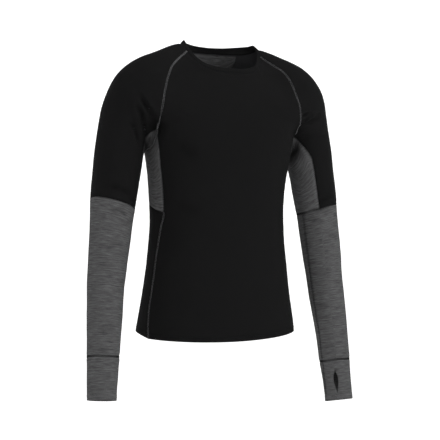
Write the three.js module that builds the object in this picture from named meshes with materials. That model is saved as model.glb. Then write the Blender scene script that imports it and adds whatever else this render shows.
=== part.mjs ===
// A long-sleeved raglan base layer top, hollow and filled out as it is when worn, with thumb slits in its cuffs.
// Millimetres, +Z up. The wearer faces -Y and the wearer's left is +X.
// The origin lies between the shoulders, level with the side of the neckband.
import * as THREE from "three";

// Cloth and sewing
const clothWall = 1.6;
const seamGap = 0.3;

// Torso: sections from the hem up, each with its half width, its depths in front of and behind its centre,
// the centre's y, and how square its outline is (2 is an ellipse)
const torsoSections = [
  { z: -720, half: 189, front: 130, back: 126, centre: -9, square: 2.1 },
  { z: -680, half: 187, front: 129, back: 124, centre: -9, square: 2.1 },
  { z: -643, half: 184, front: 127, back: 122, centre: -9, square: 2.1 },
  { z: -606, half: 179, front: 123, back: 118, centre: -11, square: 2.1 },
  { z: -552, half: 171, front: 118, back: 112, centre: -12, square: 2.1 },
  { z: -480, half: 163, front: 113, back: 103, centre: -8, square: 2.1 },
  { z: -407, half: 157, front: 111, back: 98, centre: -4, square: 2.15 },
  { z: -335, half: 159, front: 116, back: 96, centre: 2, square: 2.25 },
  { z: -280, half: 165, front: 120, back: 100, centre: 3, square: 2.4 },
  { z: -235, half: 170, front: 120, back: 103, centre: 2, square: 2.65 },
  { z: -195, half: 172, front: 115, back: 106, centre: 0, square: 2.9 },
  { z: -150, half: 166, front: 108, back: 105, centre: 0, square: 2.8 },
  { z: -110, half: 148, front: 95, back: 100, centre: 0, square: 2.5 },
  { z: -80, half: 126, front: 80, back: 92, centre: 0, square: 2.2 },
  { z: -50, half: 98, front: 67, back: 80, centre: 0, square: 2.1 },
  { z: -20, half: 76, front: 58, back: 66, centre: 0, square: 2 },
  { z: 10, half: 62, front: 50, back: 57, centre: 0, square: 2 },
];

// Left sleeve: sections from the neck out over the shoulder and down the arm, each with its centre, its radius
// across the arm in the frontal plane (side) and its radius from front to back (front)
const sleeveSections = [
  { x: 60, y: 2, z: -56, side: 46, front: 30 },
  { x: 100, y: -2, z: -59, side: 46, front: 33 },
  { x: 138, y: -12, z: -79, side: 51, front: 47 },
  { x: 173, y: -14, z: -103, side: 58, front: 59 },
  { x: 199, y: -5, z: -127, side: 59, front: 63 },
  { x: 215, y: 4, z: -165, side: 58, front: 62 },
  { x: 226, y: 5, z: -210, side: 56, front: 59 },
  { x: 235, y: 1, z: -258, side: 54, front: 56 },
  { x: 243, y: -4, z: -308, side: 52, front: 53 },
  { x: 251, y: -10, z: -370, side: 49, front: 50 },
  { x: 259, y: -17, z: -440, side: 46, front: 46 },
  { x: 266, y: -25, z: -512, side: 43, front: 43 },
  { x: 273, y: -35, z: -585, side: 40, front: 40 },
  { x: 279, y: -47, z: -658, side: 37, front: 37 },
  { x: 284, y: -59, z: -731, side: 34, front: 34 },
  { x: 288, y: -71, z: -795, side: 31.6, front: 31.6 },
  { x: 291, y: -80, z: -845, side: 31, front: 31 },
];

// How each sleeve hangs: its turn about the arm in degrees and the height by which it is turned that far, how much
// lower its cuff comes than the table says, and how much fuller it is above the elbow
const sleeveHang = {
  left: { turn: -25, turnedZ: -264, drop: 10, fullness: -0.025 },
  right: { turn: 25, turnedZ: -310, drop: -10, fullness: 0.025 },
};
const fullest = { belowZ: -240, overZ: 50, aboveZ: -440, upTo: 80 };

// Creases that fan out from the armpits into the sleeves: each a soft trough along a straight line on the surface,
// with x measured outwards from the middle of the garment
const creases = {
  left: [
    { from: [176, -66, -192], to: [224, -62, -163], halfWidth: 9, depth: 3.6 },
    { from: [178, -77, -177], to: [200, -71, -164], halfWidth: 7, depth: 2.6 },
  ],
  right: [
    { from: [214, -66, -141], to: [194, -72, -170], halfWidth: 8, depth: 3.4 },
    { from: [194, -72, -170], to: [178, -60, -200], halfWidth: 9, depth: 4 },
    { from: [217, -64, -166], to: [201, -57, -197], halfWidth: 7, depth: 2.6 },
    { from: [228, -54, -194], to: [208, -48, -238], halfWidth: 8, depth: 2.2 },
  ],
};

// The width of the blend between torso and sleeve: tight at the neck, moderate over the shoulder, wide where the
// cloth bridges chest and arm in front of and behind the armpit, and tight under the arm
const blend = {
  armpit: 22,
  bridge: { width: 100, fromY: 20, overY: 45, fromZ: -236, overZ: 62 },
  shoulder: { width: 58, fromZ: -165, overZ: 70 },
  neck: { width: 24, fromZ: -75, overZ: 40 },
};

// Neckline: where the neckband is sewn on, by the angle round the neck from the front, and the band's free edge
const neckline = [
  { angle: 0, x: 0, y: -80, z: -79, edgeX: 0, edgeY: -74, edgeZ: -67 },
  { angle: 25, x: 40, y: -75, z: -76, edgeX: 37, edgeY: -69, edgeZ: -65 },
  { angle: 50, x: 71, y: -56, z: -62, edgeX: 66, edgeY: -51, edgeZ: -53 },
  { angle: 76, x: 91, y: -25, z: -32, edgeX: 83, edgeY: -23, edgeZ: -25 },
  { angle: 90, x: 96, y: 2, z: -10, edgeX: 86, edgeY: 1, edgeZ: -3 },
  { angle: 106, x: 90, y: 24, z: -13, edgeX: 80, edgeY: 22, edgeZ: -3 },
  { angle: 126, x: 71, y: 46, z: -17, edgeX: 64, edgeY: 42, edgeZ: -4 },
  { angle: 152, x: 39, y: 62, z: -19, edgeX: 35, edgeY: 57, edgeZ: -6 },
  { angle: 180, x: 0, y: 68, z: -20, edgeX: 0, edgeY: 62, edgeZ: -7 },
];
const raglanAngle = { front: 76, back: 126 };

// Raglan seams from the neckline to the point under the arm where four pieces meet
const raglanFront = [
  { x: 91, y: -25, z: -32 },
  { x: 116, y: -45, z: -49 },
  { x: 140, y: -60, z: -72 },
  { x: 154, y: -70, z: -102 },
  { x: 163, y: -78, z: -134 },
  { x: 168, y: -80, z: -165 },
  { x: 171, y: -69, z: -193 },
  { x: 172, y: -56, z: -213 },
];
const raglanBack = [
  { x: 71, y: 46, z: -17 },
  { x: 98, y: 60, z: -48 },
  { x: 124, y: 72, z: -80 },
  { x: 146, y: 80, z: -112 },
  { x: 161, y: 82, z: -146 },
  { x: 169, y: 74, z: -180 },
  { x: 172, y: 56, z: -213 },
];
const armpitSeamMiddle = { x: 178, y: 0, z: -242 };

// The facing sewn inside the back of the neck: how far down it reaches, its clearances, its share of the back
// neckline, how round its lower edge is, and how it slopes
const facing = { depth: 62, topGap: 3, layerGap: 1, span: 0.93, roundness: 0.9, backwards: 0.25, inwards: 0.12 };

// Side panels: the angle of their front and back seams round the torso from its side line
const sideSeams = [
  { z: -680, front: 20, back: 20 },
  { z: -600, front: 13.7, back: 18 },
  { z: -495, front: 15.4, back: 18 },
  { z: -430, front: 18, back: 19 },
  { z: -385, front: 23, back: 21 },
  { z: -285, front: 22.5, back: 22 },
  { z: -216, front: 21, back: 22 },
];
const waistSeamZ = { front: -391, middle: -381, back: -366 };
// The hem hangs this much lower at the wearer's right side than the table says, and higher at the left
const hemSlant = { rise: 7, atX: 180, fromZ: -540, overZ: 110 };
// Where the body panels' middle lines are level with the ends of the armpit seams
const middleArmpitZ = -225;
// The hem rises at the sides and comes down again behind
const hemZ = { front: -669, frontSeam: -661, middle: -653, backSeam: -650, back: -667 };

// Sleeve seams, as places along the arm by height and angles round it: 0 is the front, 90 faces the body
const elbowZ = -374;
const cuffSeamZ = -714;
const cuffEndZ = -805;
const underarmPanel = { front: 44, back: 136 };
// How the underarm panel leaves the fold of the armpit, its long seams and the cloth between them: a higher power
// is sooner, and the lag is how much lower down the arm it has turned with the sleeve
const armpitFold = { seams: { leaving: 6, lag: 0 }, panel: { leaving: 10, lag: 45 } };
// The elbow seam runs aslant: it is this much lower on the side towards the body and higher on the outside
const elbowSlant = 8;
const elbowSlantSteps = 25;
// The thumb slit's angle round the cuff, and down the cuff where it opens, and half its width there
const thumbSlitAngle = 57;
const thumbSlit = [
  { down: 0, halfWidth: null },
  { down: 0.13, halfWidth: null },
  { down: 0.26, halfWidth: 0 },
  { down: 0.34, halfWidth: 3.7 },
  { down: 0.43, halfWidth: 5.2 },
  { down: 0.52, halfWidth: 5 },
  { down: 0.61, halfWidth: 3.9 },
  { down: 0.7, halfWidth: 2.2 },
  { down: 0.8, halfWidth: 0 },
  { down: 0.9, halfWidth: null },
  { down: 1, halfWidth: null },
];

// How finely each piece is divided
const columns = { front: 18, back: 18, sleeve: 16, underarm: 6, facing: 10 };
const rows = { lower: 9, upper: 7, raglan: 12, upperArm: 9, forearm: 9, band: 2, facing: 4 };

const vec = (x, y, z) => new THREE.Vector3(x, y, z);
const mix = (a, b, t) => a + (b - a) * t;
const clamp01 = (t) => Math.min(1, Math.max(0, t));
const smooth = (t) => clamp01(t) ** 2 * (3 - 2 * clamp01(t));

// A smooth curve through one column of a table, at a place t counted in rows
function column(table, name, t) {
  const i = Math.min(table.length - 2, Math.max(0, Math.floor(t)));
  const value = (k) => table[Math.min(table.length - 1, Math.max(0, k))][name];
  const [before, from, to, after] = [value(i - 1), value(i), value(i + 1), value(i + 2)];
  const u = Math.min(1, Math.max(0, t - i));
  const slopeFrom = (to - before) / 2;
  const slopeTo = (after - from) / 2;
  return (
    from +
    u * slopeFrom +
    u * u * (3 * (to - from) - 2 * slopeFrom - slopeTo) +
    u * u * u * (2 * (from - to) + slopeFrom + slopeTo)
  );
}

// The place t in a table where a rising or falling column has a value
function placeOf(table, name, value) {
  const rising = table[table.length - 1][name] > table[0][name] ? 1 : -1;
  let low = 0;
  let high = table.length - 1;
  for (let k = 0; k < 40; k++) {
    const middle = (low + high) / 2;
    if ((column(table, name, middle) - value) * rising < 0) low = middle;
    else high = middle;
  }
  return (low + high) / 2;
}

const tablePoint = (table, t) => vec(column(table, "x", t), column(table, "y", t), column(table, "z", t));

// Distance from the torso's surface, measured level, negative inside
const torsoNames = ["half", "front", "back", "centre", "square"];
const torsoSteps = 500;
const torsoCache = Array.from({ length: torsoSteps + 1 }, (_, k) => {
  const top = torsoSections[torsoSections.length - 1].z;
  const z = mix(torsoSections[0].z, top, k / torsoSteps);
  const t = placeOf(torsoSections, "z", z);
  return Object.fromEntries(torsoNames.map((name) => [name, column(torsoSections, name, t)]));
});
function torsoAt(z) {
  const first = torsoSections[0].z;
  const last = torsoSections[torsoSections.length - 1].z;
  const t = clamp01((z - first) / (last - first)) * torsoSteps;
  const i = Math.min(torsoSteps - 1, Math.floor(t));
  const [a, b] = [torsoCache[i], torsoCache[i + 1]];
  return Object.fromEntries(torsoNames.map((name) => [name, mix(a[name], b[name], t - i)]));
}
function torsoDistance(p) {
  const s = torsoAt(p.z);
  const y = p.y - s.centre;
  const depth = y < 0 ? s.front : s.back;
  const level = Math.hypot(p.x, y);
  const ratio = (Math.abs(p.x / s.half) ** s.square + Math.abs(y / depth) ** s.square) ** (1 / s.square);
  return ratio < 1e-6 ? -depth : level * (1 - 1 / ratio);
}

// A sleeve's centre line as short straight steps, with its frame: along the arm, out from the body, and forwards
const sleeveSteps = 200;
function sleeveLine(hang) {
  const last = sleeveSections.length - 1;
  const elbow = placeOf(sleeveSections, "z", elbowZ);
  const wrist = placeOf(sleeveSections, "z", cuffEndZ);
  const stations = [];
  for (let k = 0; k <= sleeveSteps; k++) {
    const t = (last * k) / sleeveSteps;
    const centre = tablePoint(sleeveSections, t);
    const above = smooth((centre.z - fullest.aboveZ) / fullest.upTo);
    const fuller = 1 + hang.fullness * above * smooth((fullest.belowZ - centre.z) / fullest.overZ);
    centre.z -= hang.drop * Math.max(0, (t - elbow) / (wrist - elbow));
    stations.push({
      centre,
      side: column(sleeveSections, "side", t) * fuller,
      front: column(sleeveSections, "front", t) * fuller,
    });
  }
  stations.forEach((station, k) => {
    const before = stations[Math.max(0, k - 1)].centre;
    const after = stations[Math.min(sleeveSteps, k + 1)].centre;
    station.along = after.clone().sub(before).normalize();
    station.out = vec(-station.along.z, 0, station.along.x).normalize();
    station.forward = station.along.clone().cross(station.out).normalize();
  });
  return stations;
}

function stationAt(line, t) {
  const i = Math.min(line.length - 2, Math.max(0, Math.floor(t)));
  const u = t - i;
  const [a, b] = [line[i], line[i + 1]];
  const lerp = (name) => a[name].clone().lerp(b[name], u);
  return {
    centre: lerp("centre"),
    out: lerp("out").normalize(),
    forward: lerp("forward").normalize(),
    side: mix(a.side, b.side, u),
    front: mix(a.front, b.front, u),
  };
}

function sleeveDistance(line, p) {
  let nearest = 0;
  let best = Infinity;
  line.forEach((station, k) => {
    const d = station.centre.distanceToSquared(p);
    if (d < best) {
      best = d;
      nearest = k;
    }
  });
  const i = Math.min(line.length - 2, Math.max(0, nearest - 1));
  const j = Math.min(line.length - 1, i + 2);
  const chord = line[j].centre.clone().sub(line[i].centre);
  const share = clamp01(p.clone().sub(line[i].centre).dot(chord) / chord.lengthSq());
  const s = stationAt(line, i + share * (j - i));
  const q = p.clone().sub(s.centre);
  const across = q.dot(s.out);
  const ahead = q.dot(s.forward);
  const rest = q.clone().addScaledVector(s.out, -across).addScaledVector(s.forward, -ahead).length();
  const ratio = Math.hypot(across / s.side, ahead / s.front, rest / s.side);
  return ratio < 1e-6 ? -s.side : q.length() * (1 - 1 / ratio);
}

// The outer surface of the cloth: torso and sleeve joined smoothly. It is worked out on the wearer's left,
// and the right is its mirror image apart from how the sleeve hangs.
function makeSurface(name) {
  const { bridge, shoulder, neck } = blend;
  const line = sleeveLine(sleeveHang[name]);
  const folds = creases[name].map(({ from, to, halfWidth, depth }) => ({
    line: new THREE.Line3(vec(...from), vec(...to)),
    halfWidth,
    depth,
  }));
  const nearest = vec();
  const sunk = (q) => {
    const depths = folds.map((fold) => {
      fold.line.closestPointToPoint(q, true, nearest);
      return fold.depth * Math.exp(-nearest.distanceToSquared(q) / fold.halfWidth ** 2);
    });
    return Math.max(...depths);
  };
  const distance = (p) => {
    const q = vec(Math.abs(p.x), p.y, p.z);
    const above = ({ fromZ, overZ }) => smooth((p.z - fromZ) / overZ);
    const bridging = smooth((Math.abs(p.y) - bridge.fromY) / bridge.overY) * above(bridge);
    const low = mix(blend.armpit, bridge.width, bridging);
    const high = mix(shoulder.width, neck.width, above(neck));
    const width = mix(low, high, above(shoulder));
    const a = torsoDistance(q);
    const b = sleeveDistance(line, q);
    const near = Math.max(width - Math.abs(a - b), 0) / width;
    return Math.min(a, b) - (near * near * width) / 4 + sunk(q);
  };
  const step = 0.5;
  const axes = [vec(step, 0, 0), vec(0, step, 0), vec(0, 0, step)];
  const slope = (p) =>
    vec(...axes.map((a) => (distance(p.clone().add(a)) - distance(p.clone().sub(a))) / (2 * step)));
  // Moves a point onto the surface and gives it the surface's normal there
  const settle = (guess) => {
    const p = guess.clone();
    for (let k = 0; k < 12; k++) {
      const off = distance(p);
      const g = slope(p);
      p.addScaledVector(g, -off / Math.max(g.lengthSq(), 0.05));
      if (Math.abs(off) < 0.005) break;
    }
    return { p, n: slope(p).normalize() };
  };
  return { line, settle };
}

// A round arc through three points, with the middle one at half way
function arc(from, through, to, count) {
  const a = from.clone().sub(through);
  const b = to.clone().sub(through);
  const normal = a.clone().cross(b);
  const centre = b
    .clone()
    .multiplyScalar(a.lengthSq())
    .sub(a.clone().multiplyScalar(b.lengthSq()))
    .cross(a.clone().cross(b))
    .multiplyScalar(1 / (2 * normal.lengthSq()))
    .add(through);
  const axis = normal.normalize();
  const spoke = through.clone().sub(centre);
  const turn = (end) => {
    const e = end.clone().sub(centre);
    return Math.atan2(spoke.clone().cross(e).dot(axis), spoke.dot(e));
  };
  const start = turn(from);
  const finish = turn(to);
  return Array.from({ length: count + 1 }, (_, k) => {
    const u = (2 * k) / count - 1;
    const angle = u < 0 ? -u * start : u * finish;
    return spoke.clone().applyAxisAngle(axis, angle).add(centre);
  });
}

// The same arc bent so that its ends and shape follow a given edge by a share
function bentArc(from, through, to, edge, share) {
  const count = edge.length - 1;
  const plain = arc(from, through, to, count);
  const flat = arc(edge[0].p, edge[count / 2].p, edge[count].p, count);
  return plain.map((p, k) => p.add(edge[k].p.clone().sub(flat[k]).multiplyScalar(share)));
}

const surfaces = {
  left: makeSurface("left"),
  right: makeSurface("right"),
};
const evenly = (count) => Array.from({ length: count + 1 }, (_, k) => k / count);

// Seams on the torso, worked out on the left and mirrored for the right
const onTorso = surfaces.left.settle;
const mirrored = ({ p, n }) => ({ p: vec(-p.x, p.y, p.z), n: vec(-n.x, n.y, n.z) });
function torsoPoint(angle, z) {
  const s = torsoAt(z);
  const turn = THREE.MathUtils.degToRad(angle);
  const y = s.centre - (angle > 0 ? s.front : s.back) * Math.sin(turn);
  return vec(s.half * Math.cos(turn), y, z);
}
function necklinePoint(angle) {
  const t = placeOf(neckline, "angle", angle);
  return onTorso(tablePoint(neckline, t));
}
function bandEdgePoint(angle) {
  const t = placeOf(neckline, "angle", angle);
  return vec(column(neckline, "edgeX", t), column(neckline, "edgeY", t), column(neckline, "edgeZ", t));
}
function seamAngle(name, z) {
  return column(sideSeams, name, placeOf(sideSeams, "z", z));
}

// Seams as lists of settled points
const hemToWaist = evenly(rows.lower);
const waistToArmpit = evenly(rows.upper);
const armpitSeamEnds = { front: onTorso(tablePoint(raglanFront, 99)), back: onTorso(tablePoint(raglanBack, 99)) };

function sideSeam(name, sign, seamHemZ, seamWaistZ) {
  const top = armpitSeamEnds[name].p;
  const lower = hemToWaist.map((u) => {
    const z = mix(seamHemZ, seamWaistZ, u);
    return onTorso(torsoPoint(sign * seamAngle(name, z), z));
  });
  const foot = torsoPoint(sign * seamAngle(name, top.z), top.z);
  const shift = top.clone().sub(onTorso(foot).p);
  const upper = waistToArmpit.map((u) => {
    const z = mix(seamWaistZ, top.z, u);
    const guess = onTorso(torsoPoint(sign * seamAngle(name, z), z)).p;
    return onTorso(guess.addScaledVector(shift, u ** 4));
  });
  upper[rows.upper] = armpitSeamEnds[name];
  return { lower, upper };
}
const frontSide = sideSeam("front", 1, hemZ.frontSeam, waistSeamZ.front);
const backSide = sideSeam("back", -1, hemZ.backSeam, waistSeamZ.back);

function raglanSeam(table, neckEnd, armpitEnd) {
  const seam = evenly(rows.raglan).map((u) => onTorso(tablePoint(table, u * (table.length - 1))));
  seam[0] = neckEnd;
  seam[rows.raglan] = armpitEnd;
  return seam;
}
const frontRaglan = raglanSeam(raglanFront, necklinePoint(raglanAngle.front), armpitSeamEnds.front);
const backRaglan = raglanSeam(raglanBack, necklinePoint(raglanAngle.back), armpitSeamEnds.back);

const armpitSeam = arc(
  armpitSeamEnds.front.p,
  onTorso(vec(armpitSeamMiddle.x, armpitSeamMiddle.y, armpitSeamMiddle.z)).p,
  armpitSeamEnds.back.p,
  columns.underarm,
).map((p) => onTorso(p));
armpitSeam[0] = armpitSeamEnds.front;
armpitSeam[columns.underarm] = armpitSeamEnds.back;

const neckFront = evenly(columns.front).map((u) => {
  const angle = mix(-raglanAngle.front, raglanAngle.front, u);
  return angle < 0 ? mirrored(necklinePoint(-angle)) : necklinePoint(angle);
});
const neckBack = evenly(columns.back).map((u) => {
  const angle = mix(-(180 - raglanAngle.back), 180 - raglanAngle.back, u);
  return angle < 0 ? mirrored(necklinePoint(180 + angle)) : necklinePoint(180 - angle);
});
const neckSleeve = evenly(columns.sleeve).map((u) =>
  necklinePoint(mix(raglanAngle.front, raglanAngle.back, u)),
);

// A body panel, front or back, from the hem up to the neckline. Its rows run from the wearer's right to left.
function bodyPanel(seam, raglan, neck, middleHemZ, sign) {
  const edge = [...seam.lower, ...seam.upper.slice(1), ...raglan.slice(0, -1).reverse()];
  const count = neck.length - 1;
  const middleTop = neck[count / 2].p;
  const levels = edge.length - 1;
  const below = rows.lower + rows.upper;
  return edge.map((end, i) => {
    if (i === levels) return neck;
    const z =
      i <= below
        ? mix(middleHemZ, middleArmpitZ, i / below)
        : mix(middleArmpitZ, middleTop.z, (i - below) / (levels - below));
    const s = torsoAt(z);
    const middle = onTorso(vec(0, s.centre + sign * (sign < 0 ? s.front : s.back), z)).p;
    const share = clamp01((i - below) / (levels - below)) ** 2;
    const row = bentArc(mirrored(end).p, middle, end.p, neck, share).map((p) => onTorso(p));
    row[0] = mirrored(end);
    row[count] = end;
    return row;
  });
}

// A side panel between two rows that are given: the cloth between the front and back seams
function sidePanel(front, back, middleFrom, middleTo, lastRow) {
  const count = columns.underarm;
  return front.map((start, i) => {
    if (lastRow && i === front.length - 1) return lastRow;
    const z = mix(middleFrom, middleTo, i / (front.length - 1));
    const middle = onTorso(torsoPoint(0, z)).p;
    const row = arc(start.p, middle, back[i].p, count).map((p) => onTorso(p));
    row[0] = start;
    row[count] = back[i];
    return row;
  });
}

// The pieces of one sleeve, all on the wearer's left
function sleevePieces(name) {
  const { line, settle } = surfaces[name];
  const { turn, turnedZ } = sleeveHang[name];
  const place = (z) => {
    const k = line.findIndex((station) => station.centre.z < z);
    const [above, below] = [line[k - 1].centre.z, line[k].centre.z];
    return k - 1 + (above - z) / (above - below);
  };
  const elbowPlace = place(elbowZ);
  const slantSteps = elbowSlant / line[elbowPlace | 0].centre.distanceTo(line[(elbowPlace | 0) + 1].centre);
  const around = (place, angle) => {
    const turned = THREE.MathUtils.degToRad(angle);
    const aslant = smooth(1 - Math.abs(place - elbowPlace) / elbowSlantSteps) * Math.sin(turned);
    const s = stationAt(line, place + slantSteps * aslant);
    return s.centre
      .clone()
      .addScaledVector(s.forward, s.front * Math.cos(turned))
      .addScaledVector(s.out, -s.side * Math.sin(turned));
  };
  const settled = place(turnedZ);

  // The underarm panel's columns. Each starts at its own point of the armpit seam and runs down the arm to the
  // elbow seam, the outer two as the panel's long seams. Those leave the fold of the armpit gradually.
  const underarmColumn = ({ p }, k) => {
    const start = place(p.z);
    const s = stationAt(line, start);
    const q = p.clone().sub(s.centre);
    const startAngle = THREE.MathUtils.radToDeg(Math.atan2(-q.dot(s.out) / s.side, q.dot(s.forward) / s.front));
    const share = k / columns.underarm;
    const endAngle = mix(underarmPanel.front, underarmPanel.back, share) + turn;
    const { leaving, lag } = k === 0 || k === columns.underarm ? armpitFold.seams : armpitFold.panel;
    const turnedPlace = place(turnedZ - lag);
    const points = evenly(rows.upperArm).map((u) => {
      const t = mix(start, elbowPlace, u);
      return settle(around(t, mix(startAngle, endAngle, smooth((t - start) / (turnedPlace - start))))).p;
    });
    const shift = p.clone().sub(points[0]);
    return points.map((point, i) => settle(point.addScaledVector(shift, (1 - i / rows.upperArm) ** leaving)));
  };
  const strands = armpitSeam.map(underarmColumn);
  const underarm = evenly(rows.upperArm).map((_, i) => (i === 0 ? armpitSeam : strands.map((strand) => strand[i])));
  const front = underarm.map((row) => row[0]);
  const back = underarm.map((row) => row[columns.underarm]);
  const armpitPlace = place(armpitSeamEnds.front.p.z);

  // The black sleeve from the neckline over the shoulder to the elbow
  const capMiddle = neckSleeve[columns.sleeve / 2].p;
  const neckPlace = line.findIndex((station) => station.centre.x > capMiddle.x);
  const frontEdge = [...frontRaglan, ...front.slice(1)];
  const backEdge = [...backRaglan, ...back.slice(1)];
  const upperSleeve = frontEdge.map((start, i) => {
    if (i === 0) return neckSleeve;
    const t =
      i <= rows.raglan
        ? mix(neckPlace, armpitPlace, i / rows.raglan)
        : mix(armpitPlace, elbowPlace, (i - rows.raglan) / rows.upperArm);
    const turned = i <= rows.raglan ? 0 : turn * smooth((t - armpitPlace) / (settled - armpitPlace));
    const middle = settle(around(t, 270 + turned)).p;
    const share = i <= rows.raglan ? (1 - i / rows.raglan) ** 2 : 0;
    const row = bentArc(start.p, middle, backEdge[i].p, neckSleeve, share).map((p) => settle(p));
    row[0] = start;
    row[columns.sleeve] = backEdge[i];
    return row;
  });

  // Forearm and cuff are rings that go round by the outside. The forearm's start at the underarm panel's front
  // seam, and the cuff's at its thumb slit.
  const elbowRing = [...upperSleeve[upperSleeve.length - 1], ...underarm[rows.upperArm].slice(1, -1).reverse()];
  const ringAngles = elbowRing.map((_, k) => {
    const overTop = 360 - (underarmPanel.back - underarmPanel.front);
    const under = underarmPanel.back - underarmPanel.front;
    const swept =
      k <= columns.sleeve
        ? -(overTop * k) / columns.sleeve
        : -overTop - (under * (k - columns.sleeve)) / columns.underarm;
    return underarmPanel.front + turn + swept;
  });
  const drop = sleeveHang[name].drop;
  const cuffSeam = place(cuffSeamZ - drop);
  const cuffEnd = place(cuffEndZ - drop);
  const slitTurn = thumbSlitAngle - underarmPanel.front;
  const ring = (t, more = 0) => ringAngles.map((angle) => settle(around(t, angle + more)));
  const forearm = evenly(rows.forearm).map((u, i) => (i === 0 ? elbowRing : ring(mix(elbowPlace, cuffSeam, u))));
  const cuff = thumbSlit.map(({ down }) => ring(mix(cuffSeam, cuffEnd, down), slitTurn));
  return { upperSleeve, underarm, forearm, cuff };
}

// The neckband stands on the neckline, round the whole neck from the front raglan seam on the right
function neckband() {
  const leftAngles = evenly(columns.sleeve).map((u) => mix(raglanAngle.front, raglanAngle.back, u));
  const frontAngles = evenly(columns.front).map((u) => mix(-raglanAngle.front, raglanAngle.front, u));
  const backAngles = evenly(columns.back).map((u) => mix(raglanAngle.back, 360 - raglanAngle.back, u));
  const rightAngles = leftAngles.map((a) => 360 - a).reverse();
  const angles = [
    ...frontAngles.slice(0, -1),
    ...leftAngles.slice(0, -1),
    ...backAngles.slice(0, -1),
    ...rightAngles.slice(0, -1),
  ];
  const at = (angle, find) => {
    const flip = angle < 0 || angle > 180;
    const found = find(angle < 0 ? -angle : angle > 180 ? 360 - angle : angle);
    return { flip, found };
  };
  const sewn = angles.map((angle) => {
    const { flip, found } = at(angle, necklinePoint);
    return flip ? mirrored(found) : found;
  });
  const free = angles.map((angle) => {
    const { flip, found } = at(angle, bandEdgePoint);
    return flip ? vec(-found.x, found.y, found.z) : found;
  });
  const count = angles.length;
  return evenly(rows.band).map((u) =>
    sewn.map(({ p }, k) => {
      const around = free[(k + 1) % count].clone().sub(free[(k + count - 1) % count]);
      const up = free[k].clone().sub(p);
      const n = around.clone().cross(up).normalize();
      return { p: p.clone().lerp(free[k], u), n: u === 0 ? sewn[k].n : n };
    }),
  );
}

// The facing inside the back of the neck, a half moon that hangs from the neckline behind the back panel
function neckFacing() {
  const spread = evenly(columns.facing).map((u) => 2 * u - 1);
  return evenly(rows.facing).map((v) =>
    spread.map((u) => {
      const angle = 180 - (180 - raglanAngle.back) * facing.span * Math.abs(u);
      const top = necklinePoint(angle);
      const depth = mix(facing.topGap, facing.depth * Math.sqrt(1 - facing.roundness * u ** 4), v);
      const down = vec(-facing.inwards * Math.abs(u), facing.backwards, -1);
      const { p, n } = onTorso(top.p.clone().addScaledVector(down, depth));
      p.addScaledVector(n, -clothWall - facing.layerGap);
      return u < 0 ? mirrored({ p, n }) : { p, n };
    }),
  );
}

// Moves a piece's edges in by half the seam gap, square to each edge
function trimmed(grid, closed) {
  const last = grid.length - 1;
  const width = grid[0].length;
  const at = (i, j) => grid[i][closed ? (j + width) % width : Math.min(width - 1, Math.max(0, j))].p;
  return grid.map((row, i) =>
    row.map((point, j) => {
      const p = point.p.clone();
      const pull = (inner, tangent) => {
        const inward = tangent.cross(point.n).normalize();
        if (inward.dot(inner.clone().sub(point.p)) < 0) inward.negate();
        p.addScaledVector(inward, seamGap / 2);
      };
      const across = at(i, j + 1).clone().sub(at(i, j - 1));
      if (i === 0) pull(at(1, j), across);
      if (i === last) pull(at(last - 1, j), across);
      const along = at(Math.min(last, i + 1), j).clone().sub(at(Math.max(0, i - 1), j));
      if (!closed && j === 0) pull(at(i, 1), along);
      if (!closed && j === width - 1) pull(at(i, width - 2), along);
      return { p, n: point.n };
    }),
  );
}

// A seam in a fold gets normals half way between the two pieces that meet in it, so that their walls part evenly
function folded(seam, before, after) {
  return seam.map((point, j) => {
    if (j === 0 || j === seam.length - 1) return point;
    const along = seam[j + 1].p.clone().sub(seam[j - 1].p);
    const away = after[j].p.clone().sub(point.p).normalize();
    away.sub(before[j].p.clone().sub(point.p).normalize());
    const n = along.cross(away).normalize();
    return { p: point.p, n: n.dot(point.n) < 0 ? n.negate() : n };
  });
}

// Lets the hem slant from side to side
function slanted(grid) {
  return grid.map((row) =>
    row.map(({ p, n }) => {
      const share = smooth((hemSlant.fromZ - p.z) / hemSlant.overZ);
      return { p: vec(p.x, p.y, p.z + (hemSlant.rise * share * p.x) / hemSlant.atX), n };
    }),
  );
}

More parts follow.
